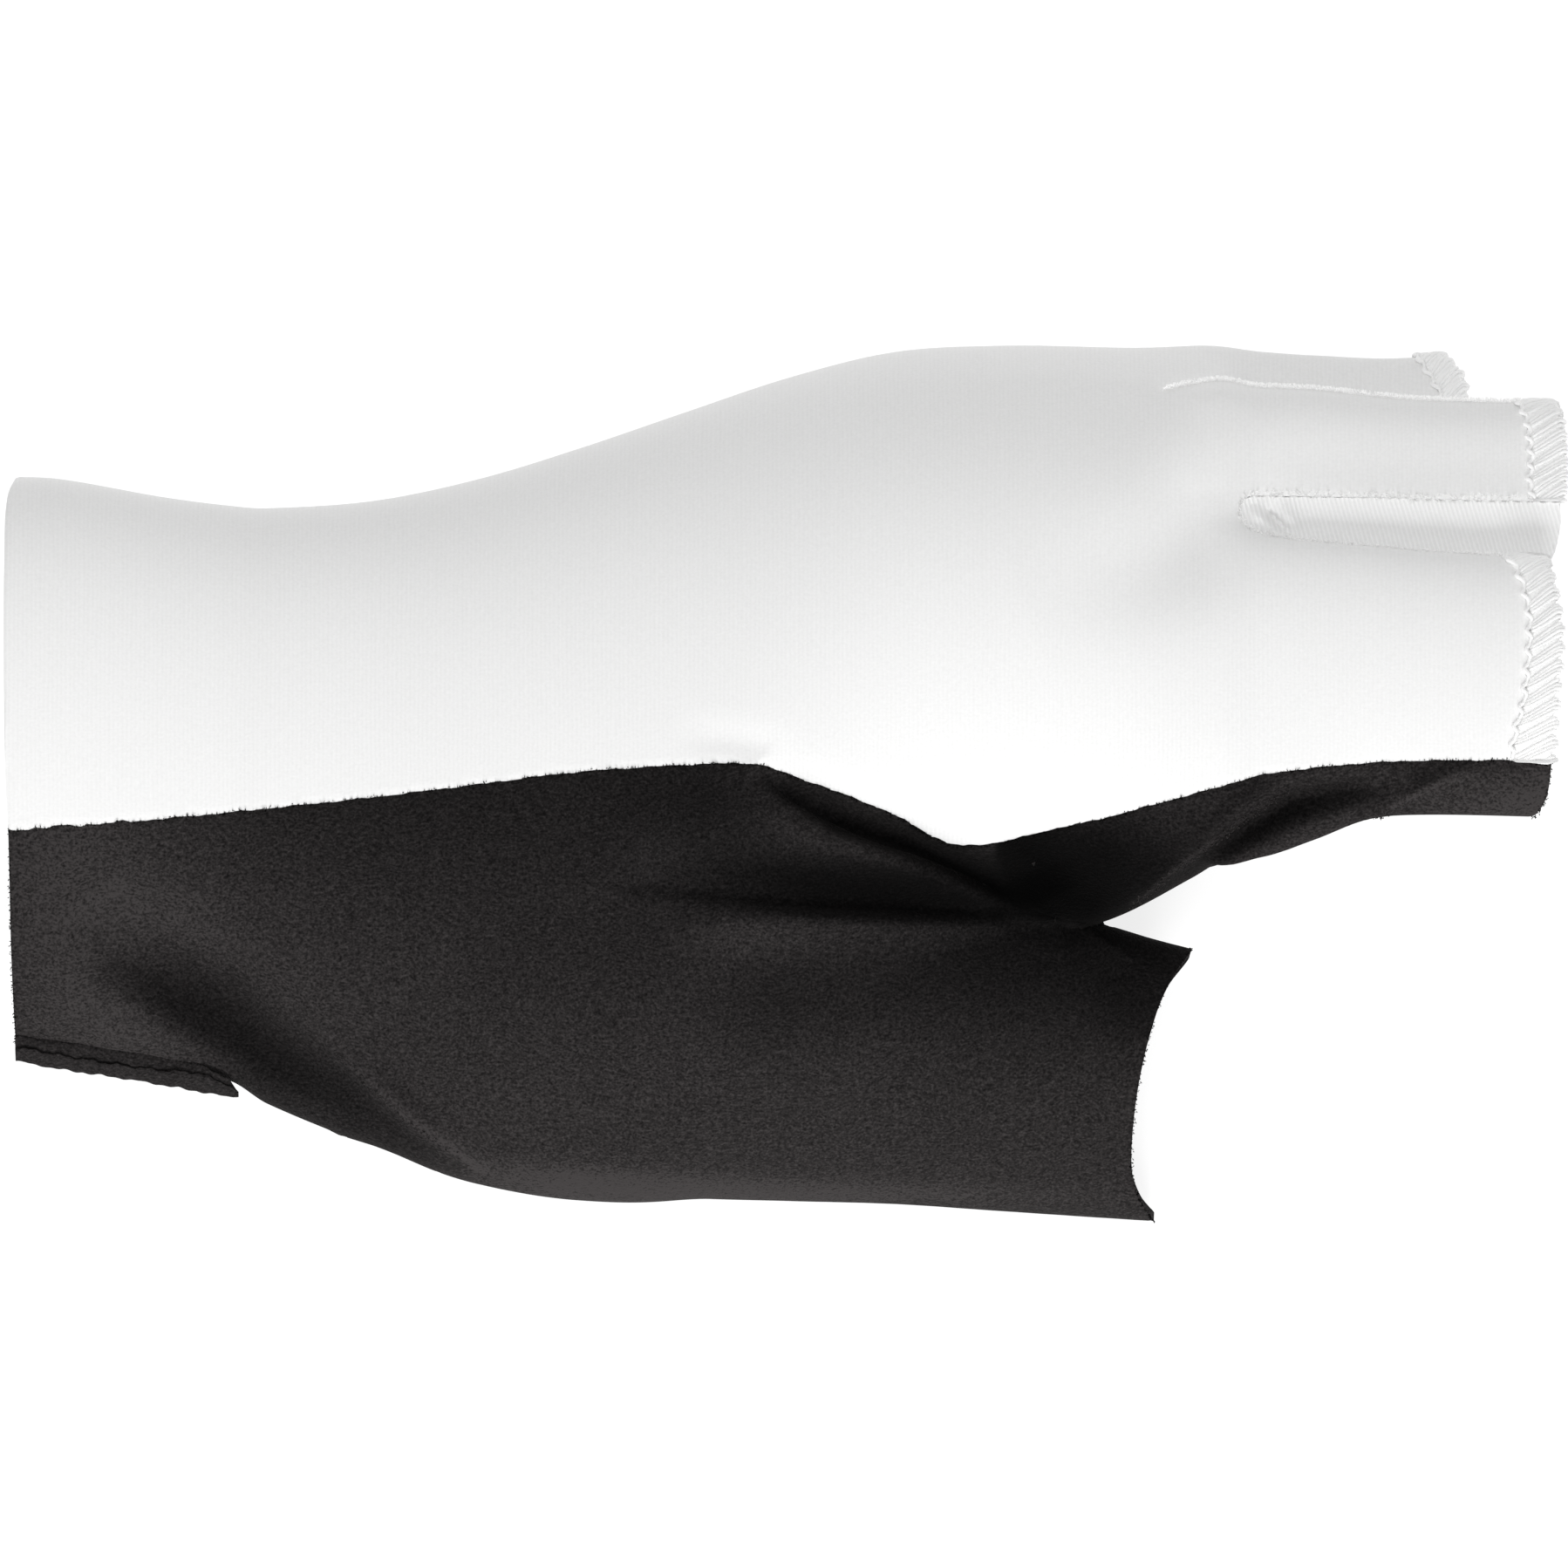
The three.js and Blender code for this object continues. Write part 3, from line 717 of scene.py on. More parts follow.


# %% [markdown]
# ### The nap of the suede, and painted light
# Suede is lighter where its fibres stand up and darker where they lie flat. The value stored here also holds
# painted light: painted shade in creases and hollows, painted highlights on ridges, and a lighter side
# towards the thumb, where the key lamp stands. The folds alone don't tell enough of that, so the lightness
# is drawn in lines as well and stored on the mesh. It doesn't turn with the camera.

# %% Brush the nap and paint its light and shade
# Each line: x, y and lightness of its points, and its widths. One more is twice as light, one less half.
# Most lines are painted shade in creases, in the web and in the pit, or painted highlights along ridges.
NAP_AND_PAINTED_LIGHT = [
    ([(-92, -10, 1.1), (-88, -18, 0.9), (-86, -28, 0.6)], 18, 10),
    ([(-72, -8, 0.3), (-55, -20, 0.4), (-30, -26, 0.25)], 14, 12),
    ([(-26, -1, 0), (-10, -2, -0.7), (-3, -3, -0.4)], 4, 5),
    (line(HEEL, 0, -0.3, -0.6, -0.9, -0.9, -0.9, -0.5), 3, 4),
    (line(HEEL_RIDGE, 0, 0.4, 1.1, 1.3, 1), 0.9, 0.3),
    ([(-69, -38.5, -0.4), (-60, -42.5, -0.2), (-50, -45.6, -0.4), (-40, -48.4, -0.2)], 1.6, 2),
    ([(-38, -49, 0.5), (-27, -50.4, 1.5), (-10, -51.4, 1.3), (20, -52.4, 0.7), (44, -53.6, 0.3)], 2, 3),
    (line(WEB, 0, -1, -1.3, -1.2, -1.1, -0.5), 3, 1.9),
    (line(WEB_RIDGE, 0.4, 1.3, 1.9, 2.4, 2.4, 0.8), 0.7, 1.2),
    ([(-17, -10, 0), (-6, -11.6, -1.6), (4, -12.7, -2.8), (15, -13.2, -3.6), (26, -14.5, -3.2),
      (34, -16, -2.4)], 4.2, 2.7),
    ([(27, -15.8, -1), (32, -16.2, -1.8), (38, -17.2, -1.4)], 1.5, 1),
    ([(27.2, -4, -2.6), (27.3, -9, -4), (29, -13, -4.6), (34, -16, -3.8)], 9.5, 0.6),
    ([(35, -8, -1), (40, -9.6, -2.2), (46, -9.6, -1.9), (50, -8, -1), (56, -4, -0.3)], 6, 7),
    ([(-8, -18, 0.4), (2, -19, 0.2)], 2, 4),
    ([(-12, -32, 0), (-1, -27, -0.9), (12, -21.6, -0.7), (24, -20, -0.6), (34, -19, -0.4)], 6, 7),
    ([(10, -30, -0.1), (30, -26, -0.7), (44, -24, -0.7)], 8, 12),
    ([(51, -10.6, -0.3), (58, -5.6, -0.7), (63.9, -2.4, -0.7), (70, -0.6, -0.6), (77, 0.4, 0)], 1.4, 2),
    (line(TWIST, -0.7, -0.7, -0.5, -0.2, 0), 3, 1.2),
    (line(TWIST, 1.9, 2, 1.6, 1.2, 0.6, 0), 0.3, 0.3),
    (line(END_RIDGE, 0.6, 1, 0.9, 0), 0.35, 0.25),
    ([(74, -4, -0.4), (80, -3, 0)], 2, 2),
    ([(86, -2.6, 0.4), (95, -1.6, 1.1)], 5, 5),
]
NAP_AND_PAINTED_LIGHT_RISE = 6  # height over which the drawn lines come in
# Folds give painted light: painted shade where the cloth sinks, a painted highlight where it rises.
PAINTED_LIGHT_BY_FOLD = 0.2  # what one millimetre of fold adds to the lightness
print(len(NAP_AND_PAINTED_LIGHT), "brushed lines")


def nap_and_painted_light_of(points, normal):
    """How light the suede is: its nap, with painted shade in creases, painted highlights on ridges and a
    painted lighter side towards the key lamp.
    """
    x, y, z = points.T
    above = ramp(FOLD_FOOT, FOLD_FOOT + NAP_AND_PAINTED_LIGHT_RISE, z)
    # painted shade and highlights from the folds and the drawn lines, together with the nap's own tone
    brushed = PAINTED_LIGHT_BY_FOLD * lifted(x, y, z) + stroked(NAP_AND_PAINTED_LIGHT, x, y) * above
    # painted light: what faces the back of the hand, away from the key lamp, is half as light as what faces
    # the thumb
    return 2**brushed * (0.5 + 0.5 * ramp(-0.1, 0.5, -normal[:, 1]))


# %% Shells
SEAM_STITCH = 3.9  # stitches of the strip's seam, in radians per millimetre
CRISP = math.radians(50)  # edges that turn more than this aren't smoothed


def unit(vectors):
    """Vectors made one long."""
    return vectors / np.maximum(np.linalg.norm(vectors, axis=1), 1e-9)[:, None]


def shell(name, points, triangles, thickness, rolled, uneven=0.0, lift=None):
    """A closed piece of cloth from its outside, whose rim is rolled in, evenly or by its stitches."""
    points, triangles = own_points(points, triangles)
    normal = unit(slope_of(skin, points))
    rim = rim_of(triangles)
    outside = points + normal * lift(points)[:, None] if lift else points.copy()
    border = np.unique(rim)
    tucked = rolled * (1 + uneven * np.sin(points[border, 0] * SEAM_STITCH))
    outside[border] -= normal[border] * tucked[:, None]
    outside[:, 2] = np.maximum(outside[:, 2], 0)
    inside = points - normal * thickness
    count = len(points)
    a, b = rim.T
    wall = from_corners([(b, a, a + count), (b, a + count, b + count)])
    faces = np.concatenate([triangles, triangles[:, ::-1] + count, wall])
    # the suede's nap with its painted shade and highlights, on the outside; the inside gets an even middle
    # value
    nap_and_painted_light = nap_and_painted_light_of(points, normal)
    attributes = {"nap_and_painted_light": np.concatenate([nap_and_painted_light, nap_and_painted_light * 0 + 0.5])}
    made = mesh_object(name, np.concatenate([outside, inside]), faces, attributes)
    made.data.set_sharp_from_angle(angle=CRISP)
    return made


# %% Make the panels
KNIT_THICKNESS = 1.0
SUEDE_THICKNESS = 1.1
HEM_PROUD = 0.45  # how far the wrapped edge stands out of the cloth


def hem_lift(points):
    """The band is padded by its thread: it rises from its border and turns down at its edge."""
    return HEM_PROUD * ramp(0, 0.7, hem_offset(points)) * ramp(0.1, -0.6, past_finger(points))


ROLL = {"back": 0.15, "palm": 0.08, "thumb": 0.08, "strip": 0.22, "hem": 0.1}  # how far rims roll in
pieces = {}
for node, part in panels.items():
    suede = node in ("palm_panel", "thumb_panel")
    kind = node.split("_")[0]
    own, faces = own_points(points, part)
    if kind in ("strip", "hem"):
        own, faces = refine(own, faces)
        own = onto(skin, own, rounds=1)
    thickness = SUEDE_THICKNESS if suede else KNIT_THICKNESS
    uneven = 1.0 if kind == "strip" else 0.0
    lift = hem_lift if kind == "hem" else None
    made = shell(f"{node}_cloth", own, faces, thickness, ROLL[kind], uneven, lift)
    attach(made, "root")
    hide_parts(node)
    "suede" if suede else "thread" if kind == "hem" else "knit"
    pieces[node] = made
print(sum(len(p.data.polygons) for p in pieces.values()), "triangles in", len(pieces), "pieces")

# %% [markdown]
# ## Overlock stitches
# An overlocker trims a raw edge and wraps it in thread: slanted loops run from a chain of stitches on the
# cloth to the edge and over it. A bump map of stitches looks flat at the edge itself, where the loops make
# the outline scalloped, so each loop is a real tube of thread.

# %% Thread
ASLANT = [0.31, 0.52, 0.8]  # a direction that no thread runs along
TAPER = 0.4  # how thick the ends of a thread are


def turns(sides):
    """Angles all around a ring."""
    return np.arange(sides) / sides * 2 * np.pi


def tube_faces(rings, sides, start=0):
    """The faces of a closed tube, whose points are numbered from start, ring after ring."""
    parts = []
    for k in range(rings - 1):
        a = start + k * sides + np.arange(sides)
        b = start + k * sides + (np.arange(sides) + 1) % sides
        parts += [(a, b, b + sides), (a, b + sides, a + sides)]
    for end, order in ((0, -1), (rings - 1, 1)):
        cap = start + end * sides + np.arange(sides)[::order]
        parts.append((np.full(sides - 2, cap[0]), cap[1:-1], cap[2:]))
    return from_corners(parts)


def thread_mesh(paths, radius, sides=6):
    """Tubes of thread along paths, each an array of points."""
    rings, faces, start = [], [], 0
    turn = turns(sides)[:, None]
    for path in paths:
        ahead = unit(np.gradient(path, axis=0))
        across = unit(np.cross(ahead, ASLANT))
        other = np.cross(ahead, across)
        ring = across[:, None] * np.cos(turn) + other[:, None] * np.sin(turn)
        taper = np.ones(len(path))
        taper[[0, -1]] = TAPER
        rings.append((path[:, None] + ring * (radius * taper)[:, None, None]).reshape(-1, 3))
        faces.append(tube_faces(len(path), sides, start))
        start += len(path) * sides
    return np.concatenate(rings), np.concatenate(faces)


# %% Places on a band
STITCHES = {"index": 2.4, "middle": 1.8, "ring": 1.9, "pinky": 2.1}  # length of one stitch on each finger
STRANDS = {"index": 4, "middle": 3, "ring": 3, "pinky": 3}  # strands that cross the band in one stitch
THREAD_RADIUS = 0.29
LEAN = 2.6  # how far a strand leans while it crosses the band
SHUFFLE = np.random.default_rng(7)
ANGLES = 721  # angles at which the edge is measured
RUN_STEP = 0.1
SHORTEST = 20  # steps that a stretch has at least


def section_points(table, x, angle):
    """Points on a tube's section at x, for some angles."""
    y_low, y_high, z_low, z_high, up, down = along(table, x)
    y = (y_low + y_high) / 2 + (y_high - y_low) / 2 * np.cos(angle)
    share = (y - y_low) / (y_high - y_low)
    bulge = np.where(np.sin(angle) > 0, up, down)
    z = np.maximum(z_low + (z_high - z_low) * share + bulge * np.sin(angle), 0)
    return np.stack([np.broadcast_to(x, y.shape), y, z], -1)


class Band:
    """The overlocked end of a finger: places on it are given along its edge and across it."""

    def __init__(self, finger):
        self.table = FINGERS[finger]
        self.edge = FINGER_EDGES[finger]
        self.border = HEM_BORDERS[finger]
        self.tip = max(x for _, x in self.edge) - 1
        self.angle = np.linspace(0, 2 * np.pi, ANGLES)
        self.around = section_points(self.table, np.full(ANGLES, self.tip), self.angle)
        steps = np.linalg.norm(np.diff(self.around, axis=0), axis=1)
        self.arc = np.concatenate([[0], np.cumsum(steps)])

    def runs(self):
        """The first and last place of each stretch that has a band, and no strip or palm."""
        place = np.arange(-self.arc[-1] / 2, self.arc[-1] / 2, RUN_STEP)
        turned = np.mod(place, self.arc[-1])
        here = np.stack([np.interp(turned, self.arc, self.around[:, k]) for k in range(3)], 1)
        sewn = seam_offset(here) > 0.3
        for strip in STRIPS.values():
            sewn &= strip_offset(here, strip) > 0.1
        changes = np.flatnonzero(np.diff(np.concatenate([[0], sewn.astype(int), [0]])))
        stretches = zip(changes[::2], changes[1::2])
        return [(place[a], place[b - 1]) for a, b in stretches if b - a > SHORTEST]

    def points(self, position, share, past, height):
        """Points at some places along the edge, shares across the band, and heights above the skin."""
        theta = np.interp(np.mod(position, self.arc[-1]), self.arc, self.angle)
        y = section_points(self.table, np.full(theta.shape, self.tip), theta)[..., 1]
        start, end = along(self.border, y)[0], along(self.edge, y)[0]
        x = start + (end - start) * share + past
        flat = section_points(self.table, x, theta).reshape(-1, 3)
        flat[:, 2] += lifted(*flat.T)
        placed = onto(skin, flat, height.reshape(-1), 2)
        placed[:, 2] = np.maximum(placed[:, 2], THREAD_RADIUS)
        return placed.reshape(*theta.shape, 3)


# %% Wrap the ends of the fingers
# The path of one strand: its share of the way across the band, how far it is past the edge, and its height.
ACROSS = np.array([0.02, 0.12, 0.26, 0.42, 0.58, 0.74, 0.88, 0.97, 1, 1, 1, 0.9, 0.6])
PAST = np.array([0, 0, 0, 0, 0, 0, 0, 0.05, 0.3, 0.4, 0.3, 0, 0])
LEVEL = np.array([0.2, 0.8, 1, 1, 1, 1, 0.95, 0.8, 0.3, -1, -2, -2.5, -2.5])
SUNK = 0.12  # how far the strands lie in the padding
AT_BORDER, AT_EDGE = 0.5, 0.78  # share of a stitch over which its strands spread at both ends


def strand_paths(band, stitch, strands):
    """Paths of the strands that cross the band, turn over its edge and go back inside."""
    depth = LEVEL * (HEM_PROUD - SUNK)
    positions, pasts, heights = [], [], []
    for first, last in band.runs():
        for start in np.arange(first, last + LEAN, stitch):
            for k in range(strands):
                part = (k + 0.5) / strands
                border = start + stitch * (0.5 + (part - 0.5) * AT_BORDER) + SHUFFLE.uniform(-0.08, 0.08)
                edge = start + stitch * (0.5 + (part - 0.5) * AT_EDGE) + SHUFFLE.uniform(-0.1, 0.1)
                bow = 0.25 * np.sin(ACROSS * np.pi) * (part - 0.5)
                place = border + (edge - border) * ACROSS - LEAN * ACROSS + bow
                positions.append(np.clip(place, first, last))
                pasts.append(PAST * (1 + 0.55 * np.cos(2 * np.pi * (part - 0.5))))
                heights.append(depth + SHUFFLE.uniform(-0.05, 0.05))
    shares = np.broadcast_to(ACROSS, (len(positions), len(ACROSS)))
    return band.points(np.array(positions), shares, np.array(pasts), np.array(heights))


def chain_paths(band, stitch):
    """The chain of stitches that runs along the border of the band."""
    paths = []
    for first, last in band.runs():
        position = np.arange(first, last, 0.16)
        wave = 2 * np.pi * position / stitch
        past = -0.05 + 0.3 * np.sin(wave) + 0.08 * np.sin(wave * 2 + 1)
        height = 0.22 + 0.14 * np.cos(wave)
        paths.append(band.points(position, np.zeros(len(position)), past, height))
    return paths


for finger, stitch in STITCHES.items():
    band = Band(finger)
    strands = strand_paths(band, stitch, STRANDS[finger])
    paths = [*strands, *chain_paths(band, stitch)]
    name = f"overlock_{finger}"
    pieces[name] = mesh_object(name, *thread_mesh(paths, THREAD_RADIUS))
    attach(pieces[name], "root")
    print(name, len(strands), "strands")

# %% [markdown]
# ## Fuzz along the seams
# The seams show short ends of thread and raised fibres, which soften their edges: white ones where the strip
# is sewn in, longer ones that stand out along the middle finger, black ones all along the suede, and light
# ones on its ridges. The light ones on the ridges are a painted highlight. The white ones glow faintly and
# the longer ones most, as painted light over the shade in the crease beside the middle finger. They are
# scattered as hair-thin tubes, since only geometry breaks up an outline.

# %% Fibres
FIBRE_RADIUS = 0.065
FOUND = 0.1  # a root that is further from the skin is left out


def fibres(places, count, reach, spread=0.12, toward=(0, 0, 0)):
    """Short curled fibres at random places along a line of points, combed in a direction."""
    chosen = places[SHUFFLE.integers(0, len(places), count)]
    chosen = chosen + SHUFFLE.normal(0, spread, chosen.shape)
    roots = onto(skin, chosen, 0.02, 3)
    roots = roots[np.abs(skin(*roots.T)) < FOUND]
    normal = slope_of(skin, roots)
    paths = []
    for root, up in zip(roots, normal):
        lean = SHUFFLE.normal(0, 1, 3) + toward
        lean /= np.linalg.norm(lean)
        size = reach * SHUFFLE.uniform(0.5, 1.2)
        t = np.linspace(0, 1, 4)[:, None]
        path = root + size * (t * lean * 0.8 + np.sin(t * np.pi * 0.8) * up * 0.35)
        path[:, 2] = np.maximum(path[:, 2], FIBRE_RADIUS)
        paths.append(path)
    return paths


def add_fuzz(name, paths, nap_and_painted_light=0.0):
    """A piece made of fibres."""
    fuzz_points, fuzz_faces = thread_mesh(paths, FIBRE_RADIUS, 3)
    pieces[name] = mesh_object(name, fuzz_points, fuzz_faces, {"nap_and_painted_light": np.full(len(fuzz_points), nap_and_painted_light)})
    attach(pieces[name], "root")
    print(name, len(paths), "fibres")


def with_rim(*names):
    """The points of some panels, and those on the rim around them."""
    own, faces = own_points(points, np.concatenate([panels[name] for name in names]))
    return own, own[np.unique(rim_of(faces))]


# %% Scatter the fuzz
FUZZ_LOW = 33  # the seam of the strip has fuzz above this height
FUZZ_END = 95.5  # and before this place
_, rim = with_rim("strip_index_middle")
top_rim = rim[(rim[:, 2] > FUZZ_LOW) & (rim[:, 0] < FUZZ_END)]
middle_rim = section_points(FINGERS["middle"], np.linspace(48, 93, 300), np.full(300, 0.08))
white_fuzz = fibres(top_rim, 900, 0.5) + fibres(top_rim + [0, 0.5, 0], 900, 0.5)
add_fuzz("seam_fuzz", white_fuzz)
# painted highlight: these fibres glow most, to lift the shade in the crease at the middle finger's edge
add_fuzz("edge_fuzz", fibres(middle_rim, 1500, 0.6, 0.1, (0, 3, 0.8)))

own, suede_rim = with_rim("palm_panel", "thumb_panel")
add_fuzz("suede_fuzz", fibres(suede_rim, 3600, 0.32, 0.08))

LIT = [(line(ridge, 1, 1), 0.45, 0.45) for ridge in (TWIST, END_RIDGE, HEEL_RIDGE[1:])]
ridges = own[(stroked(LIT, own[:, 0], own[:, 1]) > 0.5) & (own[:, 2] > FOLD_FULL)]
# painted highlight: the fibres on the ridges are made much lighter than the suede around them
add_fuzz("ridge_fuzz", fibres(ridges, 900, 0.35, 0.1), 3.0)

# %% [markdown]
# ## The seam allowance at the cuff
# Along the lower edge of the cuff the turned-out allowance of a seam stands a little way out: two plies of
# suede, pressed flat and held by a line of stitches. It is lofted from a flat oval for each ply.

# %% Fold the seam allowance
# Each row: x, the outer edge, and the inner edges of the upper and the lower ply.
CUFF_SEAM = [
    [-97.2, -35.0, -33.2, -31.8],
    [-92, -36.0, -34.2, -32.4],
    [-88, -36.6, -34.9, -32.9],
    [-82, -37.5, -35.8, -33.6],
    [-78.5, -38.1, -36.2, -34.3],
    [-74, -38.9, -36.6, -35.4],
    [-70.5, -39.5, -38, -37.2],
    [-69, -39.5, -39.1, -38.9],
]
PLY = 0.6  # thickness of one ply
PLY_RISE = 3.6  # how far it climbs
PLY_BEND = 3.4  # over this width
SQUARE = 0.7  # makes its oval section squarer
PLY_RINGS, PLY_SIDES = 90, 20


def squared(value):
    """A sine or cosine that stays longer at its ends."""
    return np.sign(value) * np.abs(value) ** SQUARE


def ply(column, foot, wave):
    """One ply of the allowance, as points and triangles, bent up over the edge of the cuff."""
    x = np.linspace(CUFF_SEAM[0][0], CUFF_SEAM[-1][0], PLY_RINGS)
    rows = along(CUFF_SEAM, x)
    y_out = rows[0] + 0.1 * np.sin(x * 1.3 + wave) + 0.06 * np.sin(x * 3.1)
    y_in = rows[column] + 0.12 * np.sin(x * 1.7 + wave) + 0.08 * np.sin(x * 4.3 + wave)
    turn = turns(PLY_SIDES)
    width = squared(np.cos(turn))
    depth = squared(np.sin(turn)) * PLY / 2
    y = (y_out + y_in)[:, None] / 2 + (y_in - y_out)[:, None] / 2 * width
    bend = np.sin(np.clip((y - rows[0][:, None]) / PLY_BEND, 0, 1) * np.pi / 2)
    z = foot + PLY_RISE * bend + depth + 0.12 * np.sin(x * 0.7 + wave)[:, None]
    ring = np.stack([np.broadcast_to(x[:, None], y.shape), y, z], 2)
    return ring.reshape(-1, 3), tube_faces(PLY_RINGS, PLY_SIDES)


upper_points, upper_faces = ply(1, 12.4, 0)
lower_points, lower_faces = ply(2, 11.7, 1.4)
allowance_points = np.concatenate([upper_points, lower_points])
allowance_faces = np.concatenate([upper_faces, lower_faces + len(upper_points)])
attributes = {"nap_and_painted_light": np.full(len(allowance_points), 0.75)}
pieces["cuff_seam"] = mesh_object("cuff_seam_cloth", allowance_points, allowance_faces, attributes)
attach(pieces["cuff_seam"], "root")
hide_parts("cuff_seam")
print("cuff_seam", len(allowance_faces), "triangles")

# %% [markdown]
# ## Writing finishes as sums
# A finish is a small network of nodes. Written as Python sums it reads like the maths it is: this class
# wraps one socket, and every sum on it adds a Math node. Any other node comes from the finish's own method.

# %% Shader sums


class Wire:
    """An output socket of a finish, which can be added, multiplied and so on."""

    def __init__(self, finish, socket):
        self.finish = finish
        self.socket = socket

    def math(self, operation, first, second=0.0):
        """A Math node on one or two values."""
        return self.finish.node("ShaderNodeMath", {"operation": operation}, {0: first, 1: second})

    def __add__(self, other):
        return self.math("ADD", self, other)

    def __sub__(self, other):
        return self.math("SUBTRACT", self, other)

    def __rsub__(self, other):
        return self.math("SUBTRACT", other, self)

    def __mul__(self, other):
        return self.math("MULTIPLY", self, other)

    def __pow__(self, other):
        return self.math("POWER", self, other)

    __radd__ = __add__
    __rmul__ = __mul__


class Finish:
    """A material and its nodes."""

    def __init__(self, name, constants):
        self.material = bpy.data.materials.new(name)
        self.material.use_nodes = True
        self.tree = self.material.node_tree
        self.shader = self.tree.nodes["Principled BSDF"]
        for title, value in constants.items():
            self.shader.inputs[title].default_value = value

    def node(self, kind, settings, sockets, output=0):
        """Adds a node: its settings first, then its sockets, and gives one of its outputs."""
        made = self.tree.nodes.new(kind)
        for title, value in settings.items():
            setattr(made, title, value)
        for title, value in sockets.items():
            if isinstance(value, Wire):
                self.tree.links.new(value.socket, made.inputs[title])
            else:
                made.inputs[title].default_value = value
        return Wire(self, made.outputs[output])

    def place(self):
        """Where the surface point is, as a vector in metres."""
        return self.node("ShaderNodeTexCoord", {}, {}, "Object")

    def vector(self, operation, sockets, output=0):
        """A Vector Math node."""
        return self.node("ShaderNodeVectorMath", {"operation": operation}, sockets, output)

    def noise(self, place, size, detail=2.0, stretch=(1, 1, 1)):
        """Cloudy values from 0 to 1, with spots of a size in metres."""
        scaled = self.vector("MULTIPLY", {0: place, 1: stretch})
        return self.node("ShaderNodeTexNoise", {}, {"Vector": scaled, "Scale": 1 / size, "Detail": detail})

    def mix(self, share, first, second):
        """A colour between two colours."""
        settings = {"data_type": "RGBA", "clamp_factor": True}
        return self.node("ShaderNodeMix", settings, {0: share, 6: first, 7: second}, 2)

    def bump(self, height, distance, strength=1.0):
        """A normal that follows a height."""
        sockets = {"Strength": strength, "Distance": distance, "Height": height}
        return self.node("ShaderNodeBump", {}, sockets)

    def into(self, title, wire):
        """Links a wire to a socket of the shader."""
        self.tree.links.new(wire.socket, self.shader.inputs[title])


def dress(finish, *names):
    """Puts a finish on some pieces."""
    for name in names:
        pieces[name].data.materials.append(finish.material)
    print(finish.material.name, "with", len(finish.tree.nodes), "nodes on", len(names), "pieces")


# %% [markdown]
# ### White knit
# The back is a fine stretch knit. Its ribs run across the hand, about half a millimetre apart, and show as
# a faint grain. Each rib is a wave along X, broken up a little by stitches and by a slow change of tone.
# The strips are the same knit, laid aslant and ribbed more deeply.

# %% Knit
RIB = 0.00055  # spacing of the ribs in metres


def knit(name, direction, shade, ribbing):
    """Ribbed knit, whose ribs follow each other in a direction."""
    feel = {"Roughness": 0.85, "Sheen Weight": 0.15, "Sheen Roughness": 0.6, "Specular IOR Level": 0.2}
    finish = Finish(name, feel)
    place = finish.place()
    warp = finish.noise(place, 0.012)
    run = finish.vector("DOT_PRODUCT", {0: place, 1: direction}, "Value")
    phase = run * (2 * math.pi / RIB) + warp * 5
    rib = phase.math("SINE", phase) * 0.5 + 0.5
    stitch = finish.noise(place, 0.00035, 2, (0.8, 1.2, 1.2))
    cloud = finish.noise(place, 0.018)
    tone = rib * ribbing + stitch * 1.6 + cloud * 0.2 - ribbing / 2 - 0.4
    dim = shade * 0.93
    dark = (dim, dim, dim * 0.996, 1)
    light = (shade, shade, shade * 0.998, 1)
    finish.into("Base Color", finish.mix(tone, dark, light))
    finish.into("Normal", finish.bump(rib * ribbing + stitch * 0.6, 0.00006))
    return finish


dress(knit("white_knit", (1, 0, 0), 0.905, 0.3), "back_panel")
dress(knit("strip_knit", (0.96, 0.28, 0), 0.97, 1.2), *STRIPS)

# %% [markdown]
# ### Black suede
# The palm and the thumb are synthetic suede: short fibres that stand up. Its grain is a fine streaky noise,
# and its tone follows the value stored on the mesh: the nap, with painted highlights along the folds and
# painted shade inside them.

# %% Suede


def suede(name):
    """Brushed suede, as light as its stored nap and painted light say."""
    feel = {
        "Roughness": 0.95,
        "Sheen Weight": 0.02,
        "Sheen Roughness": 0.45,
        "Sheen Tint": (1, 0.93, 0.9, 1),
        "Specular IOR Level": 0.05,
    }
    finish = Finish(name, feel)
    place = finish.place()
    swirl = finish.node("ShaderNodeTexNoise", {}, {"Vector": place, "Scale": 110, "Detail": 1}, "Color")
    swirl = finish.vector("SCALE", {0: swirl, "Scale": 0.004})
    brushed = finish.vector("ADD", {0: place, 1: swirl})
    grain = finish.noise(brushed, 0.00055, 3, (1, 1.6, 1))
    fibre = finish.noise(place, 0.0003, 2)
    patch = finish.noise(place, 0.02, 2)
    # the stored nap, with its painted shade and highlights
    nap_and_painted_light = finish.node("ShaderNodeAttribute", {"attribute_name": "nap_and_painted_light"}, {}, "Fac")
    fine = (grain + fibre) * 0.5
    tone = fine**2.6 * (patch * 0.6 + 2.8) * nap_and_painted_light
    finish.into("Base Color", finish.mix(tone, (0, 0, 0, 1), (0.046, 0.042, 0.042, 1)))
    finish.into("Normal", finish.bump(grain * 0.6 + fibre * 0.4, 0.0003))
    return finish


dress(suede("black_suede"), "palm_panel", "thumb_panel", "cuff_seam", "suede_fuzz", "ridge_fuzz")

# %% [markdown]
# ### Thread
# Overlock thread is soft, textured polyester, a touch brighter than the knit and fuzzy. Threads and fibres
# this fine pass light on to each other, which takes many bounces to follow, so a faint glow stands for it.

# %% Thread finish


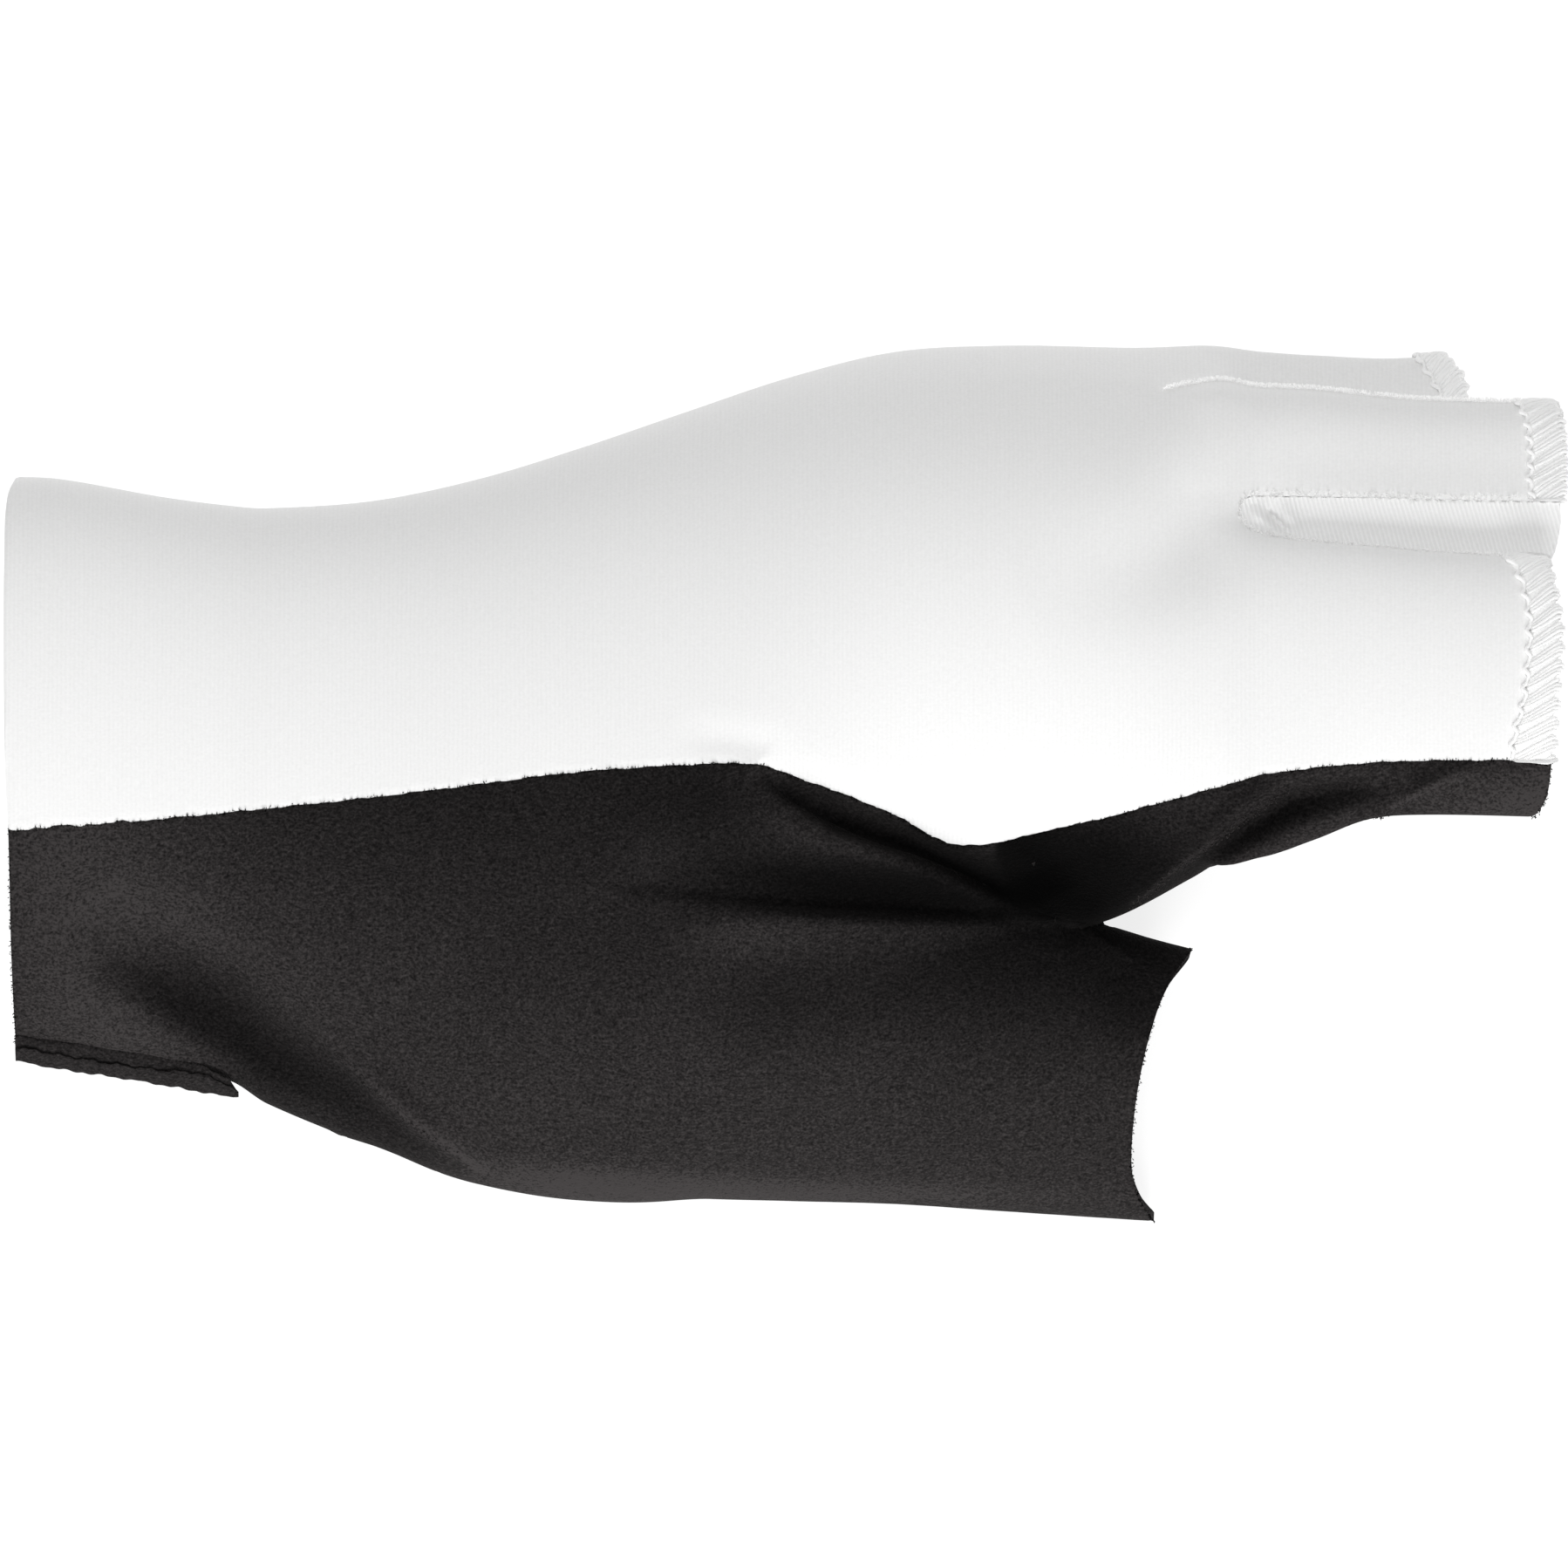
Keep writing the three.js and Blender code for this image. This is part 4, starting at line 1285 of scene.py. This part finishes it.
def thread(name, glow):
    """Soft white thread with a faint painted glow."""
    feel = {"Roughness": 0.8, "Sheen Weight": 0.2, "Specular IOR Level": 0.2}
    soft = {"Subsurface Weight": 0.5, "Subsurface Radius": (1, 1, 1), "Subsurface Scale": 0.0006}
    light = {"Emission Color": (1, 1, 1, 1), "Emission Strength": glow}
    finish = Finish(name, {**feel, **soft, **light})
    fuzz = finish.noise(finish.place(), 0.00025, 2)
    finish.into("Base Color", finish.mix(fuzz, (0.93, 0.93, 0.925, 1), (0.98, 0.98, 0.975, 1)))
    finish.into("Normal", finish.bump(fuzz, 0.0001))
    return finish


# painted glow on thread and lint; the edge lint glows most, a painted highlight over the shade in the crease
# beside the middle finger
dress(thread("white_thread_painted_glow", 0.06), *[n for n in pieces if n.startswith(("hem_", "overlock_"))])
dress(thread("seam_lint_painted_glow", 0.12), "seam_fuzz")
dress(thread("edge_lint_painted_glow", 0.19), "edge_fuzz")

# %% [markdown]
# ## Floor, light and camera
# The glove was photographed from straight above on plain white, in soft light that comes from the thumb
# side. A long lens far above keeps the outline free of perspective.

# %% Floor
FLOOR_HALF = 3.0  # in metres
FLOOR_SINK = 0.05  # keeps it just below the cloth
floor_points = np.array([[-1, -1, 0], [1, -1, 0], [1, 1, 0], [-1, 1, 0]], float) * FLOOR_HALF / MM
floor_points[:, 2] = -FLOOR_SINK
floor = mesh_object("floor", floor_points, np.array([[0, 1, 2], [0, 2, 3]]))
glow = {"Emission Color": (1, 1, 1, 1), "Emission Strength": 0.8}
paper = Finish("paper", {"Roughness": 0.9, "Specular IOR Level": 0.1, **glow})
speckle = paper.noise(paper.place(), 0.004, 3)
paper.into("Base Color", paper.mix(speckle, (0.34, 0.34, 0.34, 1), (0.36, 0.36, 0.36, 1)))
floor.data.materials.append(paper.material)

# %% Light
AROUND = 0.43  # strength of the light from all sides
world = bpy.data.worlds.new("studio")
world.use_nodes = True
background = world.node_tree.nodes["Background"]
background.inputs["Color"].default_value = (1, 1, 1, 1)
background.inputs["Strength"].default_value = AROUND
bpy.context.scene.world = world


def area_light(name, place, size, power):
    """A square lamp that faces the glove."""
    lamp = bpy.data.lights.new(name, "AREA")
    lamp.shape = "SQUARE"
    lamp.size = size
    lamp.energy = power
    made = bpy.data.objects.new(name, lamp)
    made.location = place
    made.rotation_mode = "QUATERNION"
    made.rotation_quaternion = (-Vector(place)).to_track_quat("-Z", "Y")
    bpy.context.collection.objects.link(made)


area_light("key", (0.0, -1.2, 1.0), 0.9, 16.5)
area_light("top", (0.0, 0.35, 1.5), 0.5, 6)

# %% Camera
PHOTO_WIDTH = 1798
SCALE = 0.11  # millimetres of glove in one pixel of the photograph
SPAN = PHOTO_WIDTH * SCALE * MM
CAMERA_HEIGHT = 4.0
MID_HEIGHT = 0.024  # height at which the scale holds
SENSOR = 36
camera = bpy.data.objects.new("camera", bpy.data.cameras.new("camera"))
camera.data.sensor_width = SENSOR
camera.data.lens = SENSOR * (CAMERA_HEIGHT - MID_HEIGHT) / SPAN
camera.data.clip_end = 20
camera.location = (0, 0, CAMERA_HEIGHT)
bpy.context.collection.objects.link(camera)
bpy.context.scene.camera = camera
bpy.context.scene.view_settings.view_transform = "Standard"
print("lens", round(camera.data.lens), "mm")
